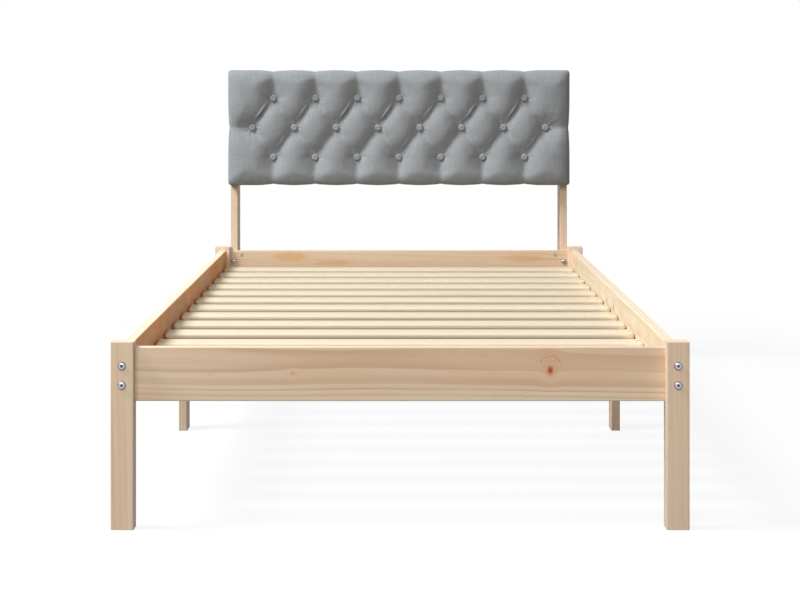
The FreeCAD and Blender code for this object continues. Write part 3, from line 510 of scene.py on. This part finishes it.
def backCloth(node, look):
    # bonded cloth: dots at x + z and x - z whole, pressed in between loose fibres
    material, tree, shader = newMaterial("back_cloth")
    coords = objectCoords(tree)
    spot = split(tree, coords)
    turn = math.pi / look["dotPitch"]
    first = maths(tree, "SINE", product(tree, maths(tree, "ADD", spot[0], spot[2]), turn))
    second = maths(tree, "SINE", product(tree, maths(tree, "SUBTRACT", spot[0], spot[2]), turn))
    dots = ramp(tree, maths(tree, "ABSOLUTE", product(tree, first, second)), *look["dotRange"])
    fibres = noise(tree, coords, look["fibreStretch"], 4.0, 0.7)
    drift = noise(tree, coords, look["driftStretch"], 3.0)
    level = weighted(tree, (dots, look["dotShade"]), start=look["shade"])
    colour = mixed(tree, product(tree, maths(tree, "ADD", fibres, drift), level), look["dark"], look["light"])
    rough = weighted(tree, (dots, look["dotRough"]), start=look["rough"])
    surface(tree, shader, colour, rough, maths(tree, "SUBTRACT", fibres, dots), look["bump"], look["bumpDepth"])
    dress(material, node)


backCloth("headboard_back_cloth", backLook)
print("headboard core and back cloth")


# woven cover

weaveForm = {
    "warpStretch": (820.0, 26.0, 1.0), "weftStretch": (22.0, 700.0, 1.0),
    "fuzzStretch": (3100.0, 3100.0, 1.0), "driftStretch": (30.0, 30.0, 1.0),
    "level": 0.55, "crossing": 0.45, "warpShare": 0.62, "weftShare": 0.38,
    "slubShade": 1.5, "fuzzShade": 0.3, "driftShade": 0.25, "shadeMiddle": 1.02, "threadShade": 0.55,
    "shadeRange": (-0.4, 1.0), "rough": 0.92, "threadRough": -0.12, "slubHeight": 0.7,
}


def makePlainWeave(form):
    # plain weave on the cloth's own coordinates: warp |sin(pi u)| and weft |sin(pi v)| go over and under each other
    # where cos(pi u) * cos(pi v) changes sign; slubs are noise stretched along each thread
    group, ask, give = newGroup(
        "plainWeave", [("Vector", "v"), ("Pitch", "f"), ("Light", "c"), ("Dark", "c"), ("Heather", "f")],
        [("Color", "c"), ("Roughness", "f"), ("Height", "f")])
    tree = group.nodes.id_data
    spot = split(tree, ask["Vector"])
    u, v = (product(tree, maths(tree, "DIVIDE", spot[axis], ask["Pitch"]), math.pi) for axis in (0, 1))
    warp, weft = (maths(tree, "ABSOLUTE", maths(tree, "SINE", angle)) for angle in (u, v))
    side = product(tree, maths(tree, "COSINE", u), maths(tree, "COSINE", v))
    over = product(tree, warp, weighted(tree, (side, form["crossing"]), start=form["level"]))
    under = product(tree, weft, weighted(tree, (side, -form["crossing"]), start=form["level"]))
    threads = maths(tree, "MAXIMUM", over, under)
    warpSlub = noise(tree, ask["Vector"], form["warpStretch"], 3.0, 0.6)
    weftSlub = noise(tree, ask["Vector"], form["weftStretch"], 3.0, 0.6)
    fuzz = noise(tree, ask["Vector"], form["fuzzStretch"], 2.0)
    drift = noise(tree, ask["Vector"], form["driftStretch"], 3.0)
    slub = weighted(tree, (warpSlub, form["warpShare"]), (weftSlub, form["weftShare"]))
    shade = weighted(tree, (slub, form["slubShade"]), (fuzz, form["fuzzShade"]), start=-form["shadeMiddle"])
    shade = weighted(tree, (drift, form["driftShade"]), start=shade)
    shade = weighted(tree, (shade, ask["Heather"]), (threads, form["threadShade"]))
    tree.links.new(mixed(tree, ramp(tree, shade, *form["shadeRange"]), ask["Dark"], ask["Light"]), give["Color"])
    tree.links.new(weighted(tree, (threads, form["threadRough"]), start=form["rough"]), give["Roughness"])
    tree.links.new(weighted(tree, (slub, form["slubHeight"]), start=threads), give["Height"])
    return group


plainWeave = makePlainWeave(weaveForm)
coverLook = {
    "light": tone(155, 159, 161), "dark": tone(117, 120, 122), "pitch": 0.0011, "heather": 1.0,
    "bump": 0.35, "bumpDepth": 0.0005, "sheen": 0.25, "sheenRough": 0.6, "gloss": 0.25,
}


def coverFabric(name, look):
    material, tree, shader = newMaterial(name)
    coords = tree.nodes.new("ShaderNodeUVMap")
    coords.uv_map = "cloth"
    cloth = useGroup(tree, plainWeave, {
        "Vector": coords.outputs[0], "Pitch": look["pitch"], "Light": look["light"], "Dark": look["dark"],
        "Heather": look["heather"]})
    surface(tree, shader, cloth["Color"], cloth["Roughness"], cloth["Height"], look["bump"], look["bumpDepth"])
    shader.inputs["Sheen Weight"].default_value = look["sheen"]
    shader.inputs["Sheen Roughness"].default_value = look["sheenRough"]
    shader.inputs["Specular IOR Level"].default_value = look["gloss"]
    return material


coverCloth = coverFabric("cover_cloth", coverLook)

# buttoned headboard pad

pad = {
    "halfPitch": 0.0545, "rowGap": 0.077, "lastColumn": 7,  # the buttons' lattice
    "step": 0.004, "corner": 0.008, "edgeDepth": 0.012, "edgeRoll": 0.038, "fullness": 2.1, "cornerBlend": (3.0, 9.0),
    "crown": 0.0365, "seat": 0.0135, "creaseRise": 0.0105, "plump": 2.5, "softness": 0.09,
    "borderRise": 0.008, "borderRun": 0.9,
    "scallop": 0.0022, "notch": 0.0016, "notchWidth": 0.007, "scallopRow": 0.5,
    "drawStart": (0.8, 0.5),  # shares of the half width and height
    "pleatEnd": (0.3, 0.4),  # half pitches short of the last column, and the fade there
    "wallSteps": 7, "rimBevel": 0.0006, "rimSteps": (0.002, 0.006), "rimWidth": 0.0096,
    "recessDepths": (-0.004, 0.0003),
    "rollHold": (0.97, 0.4), "creaseHold": (0.09, 0.7), "buttonHold": 0.17,
    "frames": 20, "calmTurns": 12, "stray": 0.0003, "mostMove": 0.007,
    "cloth": {
        "quality": 5, "mass": 0.3, "tension_stiffness": 18, "compression_stiffness": 10, "shear_stiffness": 6,
        "bending_stiffness": 0.9, "vertex_group_mass": "held", "pin_stiffness": 12,
        "shrink_min": -0.012,  # a little spare cloth, so that it gathers
        "use_pressure": True, "uniform_pressure_force": 4.0,
    },
    "frontFade": 0.004,
    "lip": {
        "height": 0.0055, "at": 0.15, "width": 0.05, "groove": 0.8, "grooveAt": 0.045, "grooveWidth": 0.045,
        "length": 0.66, "upper": (0.55, 0.45), "lower": 0.35, "past": 0.4,
    },
    "gather": {"height": 0.0009, "folds": 9, "turn": 1.7, "away": 0.013, "width": 0.007},
}
cushionLow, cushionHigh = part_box("headboard_cushion")
padHalf = np.array([(cushionHigh.x - cushionLow.x) / 2, (cushionHigh.z - cushionLow.z) / 2])
padMiddle = np.array([(cushionHigh.x + cushionLow.x) / 2, (cushionHigh.z + cushionLow.z) / 2])
padFront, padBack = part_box("headboard_board")[0].y, cushionHigh.y


def rollLines(half, step, roll):  # grid lines: even inside, roll * (1 - cos(angle)) from the edge on the rolled border
    turns = round(roll * math.pi / 2 / step)
    edge = roll * (1 - np.cos(np.linspace(0, math.pi / 2, turns + 1)))
    inner = np.linspace(roll - half, half - roll, round(2 * (half - roll) / step) + 1)
    return np.concatenate([edge[:-1] - half, inner, half - edge[-2::-1]])


def lattice(x, z):  # half pitches across and rows up, from the middle button
    return x / pad["halfPitch"], z / pad["rowGap"]


def odd(value):  # signed distance to the nearest odd whole number, -1 to 1
    return value - (2 * np.floor(value / 2) + 1)


def bell(value):
    return np.exp(-value ** 2)


def tuftDistances(x, z):
    # creases run where p + q or p - q is odd, pleats go straight from the outer buttons to the border; both distances
    # are 0 on a crease and 1 in a panel's middle
    p, q = lattice(x, z)
    farP, farQ = np.abs(p), np.abs(q)
    last = pad["lastColumn"]
    either = lambda a, b: a + b - a * b
    pleat = np.abs(odd(p + 1))
    past = np.clip(farQ - 1, 0, 1)
    border = farQ > 1
    first = np.where(border, pleat, np.abs(odd(p + q)))
    second = np.where(border, either(pleat, past), np.abs(odd(p - q)))
    corner = (farP + farQ > last) & (farP > last - 1)
    beside = corner & ~border & (farP > last)
    inside = corner & ~border & (farP <= last)
    first = np.where(corner & border, np.clip(farP - last + 1, 0, 1), first)
    second = np.where(corner & border, either(first, past), second)
    first = np.where(beside, farQ, first)
    second = np.where(beside, either(farQ, np.clip(farP - last, 0, 1)), second)
    first = np.where(inside, np.clip(farP + farQ - last, 0, 1), first)
    second = np.where(inside, np.maximum(np.abs(odd(farP - farQ)), first), second)
    return first, second


def tuftDepth(x, z):
    # crease floor = seat + rise (1 - cos^2 cos^2), up to the crown by h(d) = 1 - (1 - d)^plump on both distances;
    # each distance is rounded at 0 by (sqrt(d^2 + s^2) - s) / (sqrt(1 + s^2) - s)
    s = pad["softness"]
    first, second = ((np.hypot(d, s) - s) / (math.hypot(1, s) - s) for d in tuftDistances(x, z))
    valley = np.cos(math.pi * first / 2) ** 2 * np.cos(math.pi * second / 2) ** 2
    floor = pad["seat"] + pad["creaseRise"] * (1 - valley)
    past = np.clip((np.abs(z) / pad["rowGap"] - 1) / pad["borderRun"], 0, 1)
    floor = floor + pad["borderRise"] * past * past * (3 - 2 * past)
    swellFirst, swellSecond = (1 - (1 - d) ** pad["plump"] for d in (first, second))
    return floor + (pad["crown"] - floor) * swellFirst * swellSecond


def roundCorners(x, z, half, radius):  # squares of the radius at the corners become quarter discs
    a = np.clip((np.abs(x) - half[0] + radius) / radius, 0, 1)
    b = np.clip((np.abs(z) - half[1] + radius) / radius, 0, 1)
    dx = np.sign(x) * radius * (a * np.sqrt(1 - b * b / 2) - a)
    dz = np.sign(z) * radius * (b * np.sqrt(1 - a * a / 2) - b)
    return x + dx, z + dz


def rollShare(x, z, half):
    # from the side wall, 0, to the crown, 1: (1 - t^n)^(1/n), where t = (a^m + b^m)^(1/m) of the two sides' rolls,
    # 1 at the border, and m grows to the border, so that the corners are full and have no mitre line
    a, b = (np.clip(1 - (h - np.abs(v)) / pad["edgeRoll"], 0, 1) for v, h in ((x, half[0]), (z, half[1])))
    inner, outer = pad["cornerBlend"]
    m = inner + (outer - inner) * np.maximum(a, b) ** 4
    t = np.clip((a ** m + b ** m) ** (1 / m), 0, 1)
    return (1 - t ** pad["fullness"]) ** (1 / pad["fullness"])


def drawIn(x, z, half):
    # pleats pull the outline in: scallop (1 + cos(pi p)) / 2 plus a narrow notch at each pleat, fading to the middle
    p, q = lattice(x, z)
    short, fade = pad["pleatEnd"]
    startX, startZ = pad["drawStart"]
    pull = pad["scallop"] * (1 + np.cos(math.pi * p)) / 2
    pull = pull + pad["notch"] * bell(odd(p + 1) * pad["halfPitch"] / pad["notchWidth"])
    pull = pull * np.clip((pad["lastColumn"] - short - np.abs(p)) / fade, 0, 1)
    z = z - np.sign(z) * pull * np.clip((np.abs(z) / half[1] - startZ) / (1 - startZ), 0, 1) ** 2
    pull = pad["scallop"] * bell(q / pad["scallopRow"]) + pad["notch"] * bell(q * pad["rowGap"] / pad["notchWidth"])
    x = x - np.sign(x) * pull * np.clip((np.abs(x) / half[0] - startX) / (1 - startX), 0, 1) ** 2
    return x, z


def meshFrom(name, points, faces, cloth):  # cloth is one UV pair for each corner of each face
    mesh = bpy.data.meshes.new(name)
    mesh.from_pydata(points.tolist(), [], faces)
    layer = mesh.uv_layers.new(name="cloth")
    layer.data.foreach_set("uv", np.asarray(cloth, np.float32).ravel())
    mesh.polygons.foreach_set("use_smooth", np.ones(len(mesh.polygons), bool))
    mesh.update()
    return mesh


def meshPoints(mesh):
    points = np.empty(len(mesh.vertices) * 3)
    mesh.vertices.foreach_get("co", points)
    return points.reshape(-1, 3)


def gridFaces(index):  # quads of an index grid, counter-clockwise as seen from the front (-Y)
    return np.stack([index[:-1, :-1], index[1:, :-1], index[1:, 1:], index[:-1, 1:]], -1).reshape(-1, 4)


def wallRings():  # side wall, back rim and recess for the board, as (inset, depth)
    wall, back = padBack - padFront + pad["edgeDepth"], padFront - padBack
    rim, bevel = pad["rimWidth"], pad["rimBevel"]
    rings = [(0.0, pad["edgeDepth"] - wall * share) for share in np.linspace(0, 1, pad["wallSteps"] + 1)[1:-1]]
    rings += [(bevel, back + bevel)] + [(inset, back) for inset in (*pad["rimSteps"], rim)]
    rings += [(rim, depth) for depth in pad["recessDepths"]]
    return np.array(rings)


def buildPad():
    # the front is a grid; its border runs round it, and the rings of the wall are carried along that border
    xs, zs = (rollLines(half, pad["step"], pad["edgeRoll"]) for half in padHalf)
    gridX, gridZ = np.meshgrid(xs, zs, indexing="ij")
    x, z = roundCorners(gridX, gridZ, padHalf, pad["corner"])
    roll = rollShare(x, z, padHalf)
    depth = pad["edgeDepth"] + (tuftDepth(x, z) - pad["edgeDepth"]) * roll
    index = np.arange(x.size).reshape(x.shape)
    border = np.concatenate([index[:-1, 0], index[-1, :-1], index[:0:-1, -1], index[0, :0:-1]])
    count = len(border)
    rim = np.stack([x.ravel()[border], z.ravel()[border]], 1)
    out = rim - np.clip(rim, pad["corner"] - padHalf, padHalf - pad["corner"])
    out /= np.linalg.norm(out, axis=1, keepdims=True)
    rings = wallRings()
    ringSpots = rim[None] - out[None] * rings[:, :1, None]
    ringDepth = np.repeat(rings[:, 1], count)
    allX = np.concatenate([x.ravel(), ringSpots[..., 0].ravel()])
    allZ = np.concatenate([z.ravel(), ringSpots[..., 1].ravel()])
    allDepth = np.concatenate([depth.ravel(), ringDepth])
    allX, allZ = drawIn(allX, allZ, padHalf)
    points = np.stack([allX + padMiddle[0], padFront - allDepth, allZ + padMiddle[1]], 1)
    tube = np.concatenate([border[None], x.size + np.arange(len(rings) * count).reshape(len(rings), count)])
    tube = np.concatenate([tube, tube[:, :1]], 1)
    front, side = gridFaces(index), gridFaces(tube)[:, ::-1]
    # cloth lengths: x and z on the front; on the side wall and rim the wrap length is added outwards
    flat = np.stack([gridX.ravel(), gridZ.ravel()], 1)
    steps = np.diff(np.concatenate([[(0.0, pad["edgeDepth"])], rings]), axis=0)
    wrap = np.concatenate([[0.0], np.cumsum(np.hypot(steps[:, 0], steps[:, 1]))])
    edge = flat[np.append(border, border[0])]
    onWall = np.where(np.abs(edge / padHalf) > 0.99999, np.sign(edge), 0.0)
    facing = np.where(onWall[:-1] * onWall[1:] != 0, onWall[:-1], 0.0)  # the wall that each border step lies on
    down, along = np.array([0, 1, 1, 0]), np.array([1, 1, 0, 0])  # the corners of a wall face
    edgeAt = edge[np.arange(count)[:, None] + along]
    wrapAt = wrap[np.arange(len(rings))[:, None] + down]
    sideCloth = edgeAt[None] + facing[None, :, None] * wrapAt[:, None, :, None]
    cloth = np.concatenate([flat[front].reshape(-1, 2), sideCloth.reshape(-1, 2)])
    piece = addObject("headboard_pad", meshFrom("headboard_pad", points, front.tolist() + side.tolist(), cloth))
    # held at the border, less along creases, and fully round the buttons
    near, far = tuftDistances(x, z)
    full, fade = pad["rollHold"]
    width, grip = pad["creaseHold"]
    hold = np.maximum(np.clip((full - roll) / fade, 0, 1), np.clip(1 - np.minimum(near, far) / width, 0, 1) * grip)
    hold = np.maximum(hold, np.hypot(near, far) < pad["buttonHold"])
    held = np.concatenate([hold.ravel(), np.ones(ringDepth.size)])
    return piece, held, x.shape


def calm(move, shape):  # keeps each point's move within a little of its neighbours' average on the front grid
    grid = move[: shape[0] * shape[1]].reshape(*shape, 3)
    smooth = grid
    for turn in range(pad["calmTurns"]):
        wide = np.pad(smooth, ((1, 1), (1, 1), (0, 0)), mode="edge")
        smooth = (wide[:-2, 1:-1] + wide[2:, 1:-1] + wide[1:-1, :-2] + wide[1:-1, 2:] + 2 * smooth) / 6
    stray = grid - smooth
    stray *= np.minimum(1, pad["stray"] / np.maximum(np.linalg.norm(stray, axis=2, keepdims=True), 1e-9))
    return np.concatenate([(smooth + stray).reshape(-1, 3), move[shape[0] * shape[1]:]])


def swell(piece, held, shape):  # cloth under air pressure, held at creases, buttons and border; the move is capped
    before = meshPoints(piece.data)
    group = piece.vertex_groups.new(name="held")
    steps = np.round(held, 1)
    for weight in np.unique(steps):
        group.add(np.flatnonzero(steps == weight).tolist(), float(weight), "REPLACE")
    cloth = piece.modifiers.new("swell", "CLOTH")
    cloth.point_cache.frame_start, cloth.point_cache.frame_end = 1, pad["frames"]
    for rule, value in pad["cloth"].items():
        setattr(cloth.settings, rule, value)
    cloth.settings.effector_weights.gravity = 0
    cloth.collision_settings.use_collision = False
    scene = bpy.context.scene
    for number in range(1, pad["frames"] + 1):
        scene.frame_set(number)
    after = meshPoints(piece.evaluated_get(bpy.context.evaluated_depsgraph_get()).to_mesh())
    piece.modifiers.remove(cloth)
    piece.vertex_groups.clear()
    scene.frame_set(1)
    move = after - before
    length = np.linalg.norm(move, axis=1, keepdims=True)
    move *= np.minimum(1, pad["mostMove"] / np.maximum(length, 1e-9))
    settled = before + calm(move, shape) * (1 - held[:, None] ** 4)
    piece.data.vertices.foreach_set("co", settled.ravel())
    piece.data.update()
    print("pad swelled, largest move", round(float(length.max()) * 1000, 1), "mm")


def pleatLips(p, q):
    # a narrow ridge above a rising crease, strongest half way along it, different from crease to crease
    lip = pad["lip"]
    across, along = odd(p - q), odd(p + q)
    lane = np.round((p - q - across) / 2) * 7 + np.floor((p + q - 1) / 2) * 3
    chance = np.sin(lane * 12.9898) ** 2  # each crease's own, 0 to 1
    least, more = lip["upper"]
    share = np.where(q > 0, least + more * chance, lip["lower"] * chance)
    ridge = bell((across + lip["at"]) / lip["width"])
    ridge = ridge - lip["groove"] * bell((across + lip["grooveAt"]) / lip["grooveWidth"])
    lift = lip["height"] * ridge * share * np.clip(1 - ((1 - np.abs(along)) / lip["length"]) ** 2, 0, 1)
    return np.where(np.abs(p) + np.abs(q) < pad["lastColumn"] + lip["past"], lift, 0.0)


def buttonGathers(p, q):
    # small folds round each button, cos(folds * angle) fading with the distance
    gather, last = pad["gather"], pad["lastColumn"]
    row = np.clip(np.round(q), -1, 1)
    middleRow = np.clip(2 * np.floor(p / 2) + 1, -last, last)
    outerRow = np.clip(2 * np.round(p / 2), 1 - last, last - 1)
    column = np.where(row == 0, middleRow, outerRow)
    x, z = (p - column) * pad["halfPitch"], (q - row) * pad["rowGap"]
    folds = np.cos(gather["folds"] * np.arctan2(z, x) + column * gather["turn"] + row)
    return gather["height"] * folds * bell((np.hypot(x, z) - gather["away"]) / gather["width"])


def refine(piece):  # one subdivision made final, then the small pleat lips and gathers on the finer mesh
    finer = piece.modifiers.new("finer", "SUBSURF")
    finer.levels = finer.render_levels = 1
    mesh = bpy.data.meshes.new_from_object(piece.evaluated_get(bpy.context.evaluated_depsgraph_get()))
    piece.modifiers.clear()
    piece.data = mesh
    points = meshPoints(mesh)
    normals = np.empty(points.size, np.float32)
    mesh.vertex_normals.foreach_get("vector", normals)
    p, q = lattice(points[:, 0] - padMiddle[0], points[:, 2] - padMiddle[1])
    front = np.clip((padFront - pad["edgeDepth"] - points[:, 1]) / pad["frontFade"], 0, 1) * (np.abs(q) < 1)
    lift = (pleatLips(p, q) + buttonGathers(p, q)) * front
    points += normals.reshape(-1, 3) * lift[:, None]
    mesh.vertices.foreach_set("co", points.ravel())
    shell = bmesh.new()  # the recess for the board is closed with one flat face
    shell.from_mesh(mesh)
    bmesh.ops.holes_fill(shell, edges=[edge for edge in shell.edges if edge.is_boundary], sides=0)
    shell.to_mesh(mesh)
    shell.free()
    mesh.update()


padPiece, padHeld, padGrid = buildPad()
swell(padPiece, padHeld, padGrid)
refine(padPiece)
padPiece.data.materials.append(coverCloth)
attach(padPiece, "root")
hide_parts("headboard_cushion")
print("pad:", len(padPiece.data.polygons), "faces")

# covered buttons

button = {
    "radius": 0.009, "height": 0.0072, "hollow": 0.0011, "rings": 14, "around": 28,
    "foot": 0.0012, "footShare": 0.9, "pucker": 0.0003, "puckers": 7,
}


def buildButtons():
    # each button: r = radius cos(t)^0.5, rise = height sin(t)^0.6 - hollow exp(-(3 r / radius)^2), closed by one point
    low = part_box("tufting_buttons")[0]
    radius, height, around, last = button["radius"], button["height"], button["around"], pad["lastColumn"]
    rows = {-1: range(1 - last, last, 2), 0: range(-last, last + 1, 2), 1: range(1 - last, last, 2)}
    spots = np.array([(p, row) for row, columns in rows.items() for p in columns]) * (pad["halfPitch"], pad["rowGap"])
    t = np.linspace(0, math.pi / 2, button["rings"] + 1)[:-1]
    r = np.concatenate([[radius * button["footShare"]], radius * np.cos(t) ** 0.5])[:, None]
    rise = np.concatenate([[-button["foot"]], height * np.sin(t) ** 0.6])[:, None]
    rise = rise - button["hollow"] * bell(3 * r / radius)
    angle = np.linspace(0, 2 * math.pi, around, endpoint=False)
    ringRise = rise + button["pucker"] * np.cos(button["puckers"] * angle) * (1 - rise / height)
    one = np.stack([(r * np.cos(angle)).ravel(), -ringRise.ravel(), (r * np.sin(angle)).ravel()], 1)
    one = np.concatenate([one, [[0, button["hollow"] - height, 0]]])
    grid = np.arange(len(r) * around).reshape(len(r), -1)
    grid = np.concatenate([grid, grid[:, :1]], 1)
    quads = gridFaces(grid)[:, ::-1]
    tip = np.stack([grid[-1, :-1], grid[-1, 1:], np.full(around, len(one) - 1)], 1)
    base = grid[0, -2::-1]
    points = np.concatenate([one + (x + padMiddle[0], low.y + height, z + padMiddle[1]) for x, z in spots])
    parts = (quads, tip, [base])
    faces = [(face + len(one) * n).tolist() for n in range(len(spots)) for part in parts for face in part]
    return meshFrom("button_covers", points, faces, points[np.concatenate(faces)][:, [0, 2]])


buttonPiece = addObject("button_covers", buildButtons())
buttonPiece.data.materials.append(coverCloth)
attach(buttonPiece, "root")
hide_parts("tufting_buttons")
print("buttons covered")

# floor, light and camera

studio = {
    "floorColour": tone(104, 103, 101), "floorPale": (0.9, 0.9, 0.9, 1.0), "floorWhite": 0.88, "floorHalf": 60.0,
    "shadeReach": (1.6, 2.6), "white": (1.0, 1.0, 1.0, 1.0), "skyLevel": 0.12, "aim": (0, 0, 0.35),
    "key": {"way": (-0.62, -0.2, 0.77), "far": 6.0, "size": 2.6, "level": 1.4, "colour": (0.97, 1.0, 1.05)},
    "fill": {"way": (-0.14, -1.0, 0.5), "far": 6.5, "size": 3.6, "level": 0.54, "colour": (1.03, 1.0, 0.96)},
    "camera": {"at": (-0.0052, -4.571, 0.739), "lens": 95.45, "sensor": 36.0, "shift": (0.0039, -0.272), "end": 100},
}


def viewRays(tree):  # 1 for rays that the camera, a reflection or clear glass sends
    rays = tree.nodes.new("ShaderNodeLightPath").outputs
    seen = maths(tree, "MAXIMUM", rays["Is Camera Ray"], rays["Is Glossy Ray"])
    return maths(tree, "MAXIMUM", seen, rays["Is Transmission Ray"])


def buildFloor():
    half = studio["floorHalf"]
    mesh = bpy.data.meshes.new("floor")
    mesh.from_pydata([(-half, -half, 0), (half, -half, 0), (half, half, 0), (-half, half, 0)], [], [(0, 1, 2, 3)])
    floor = addObject("floor", mesh)
    material, tree = newMaterial("floor_paper")[:2]
    tree.nodes.clear()
    paper = place(tree, "ShaderNodeBsdfDiffuse", {"Color": studio["floorColour"]}).outputs[0]
    pale = place(tree, "ShaderNodeBsdfDiffuse", {"Color": studio["floorPale"]}).outputs[0]
    white = place(tree, "ShaderNodeEmission", {"Color": studio["white"], "Strength": 1.0}).outputs[0]
    away = lengthOf(tree, objectCoords(tree))
    share = ramp(tree, away, *studio["shadeReach"], studio["floorWhite"], 1.0)  # all white away from the bed's shadow
    seen = place(tree, "ShaderNodeMixShader", {0: share, 1: pale, 2: white}).outputs[0]
    both = place(tree, "ShaderNodeMixShader", {0: viewRays(tree), 1: paper, 2: seen}).outputs[0]
    place(tree, "ShaderNodeOutputMaterial", {0: both})
    mesh.materials.append(material)


def buildLight():
    for name in ("key", "fill"):
        look = studio[name]
        way = np.array(look["way"]) / np.linalg.norm(look["way"])
        lamp = bpy.data.lights.new(name, "AREA")
        lamp.shape, lamp.size, lamp.color = "DISK", look["size"], look["colour"]
        lamp.energy = look["level"] * (math.pi * look["far"]) ** 2  # a white card facing it renders at its level
        light = addObject(name, lamp)
        light.location = (way * look["far"] + studio["aim"]).tolist()
        light.rotation_euler = (math.acos(way[2]), 0, math.atan2(way[1], way[0]) + math.pi / 2)
    world = bpy.data.worlds.new("studio")
    bpy.context.scene.world = world
    world.use_nodes = True
    tree = world.node_tree
    tree.nodes.clear()
    dim = place(tree, "ShaderNodeBackground", {"Color": studio["white"], "Strength": studio["skyLevel"]}).outputs[0]
    white = place(tree, "ShaderNodeBackground", {"Color": studio["white"], "Strength": 1.0}).outputs[0]
    both = place(tree, "ShaderNodeMixShader", {0: viewRays(tree), 1: dim, 2: white}).outputs[0]
    place(tree, "ShaderNodeOutputWorld", {0: both})


def buildCamera():
    view = studio["camera"]
    lens = bpy.data.cameras.new("camera")
    lens.lens, lens.sensor_width, lens.sensor_fit = view["lens"], view["sensor"], "HORIZONTAL"
    lens.shift_x, lens.shift_y = view["shift"]
    lens.clip_end = view["end"]
    camera = addObject("camera", lens)
    camera.location = view["at"]
    camera.rotation_euler = (math.pi / 2, 0, 0)
    bpy.context.scene.camera = camera


buildFloor()
buildLight()
buildCamera()
bpy.context.scene.view_settings.view_transform = "Standard"
print("floor, light and camera")
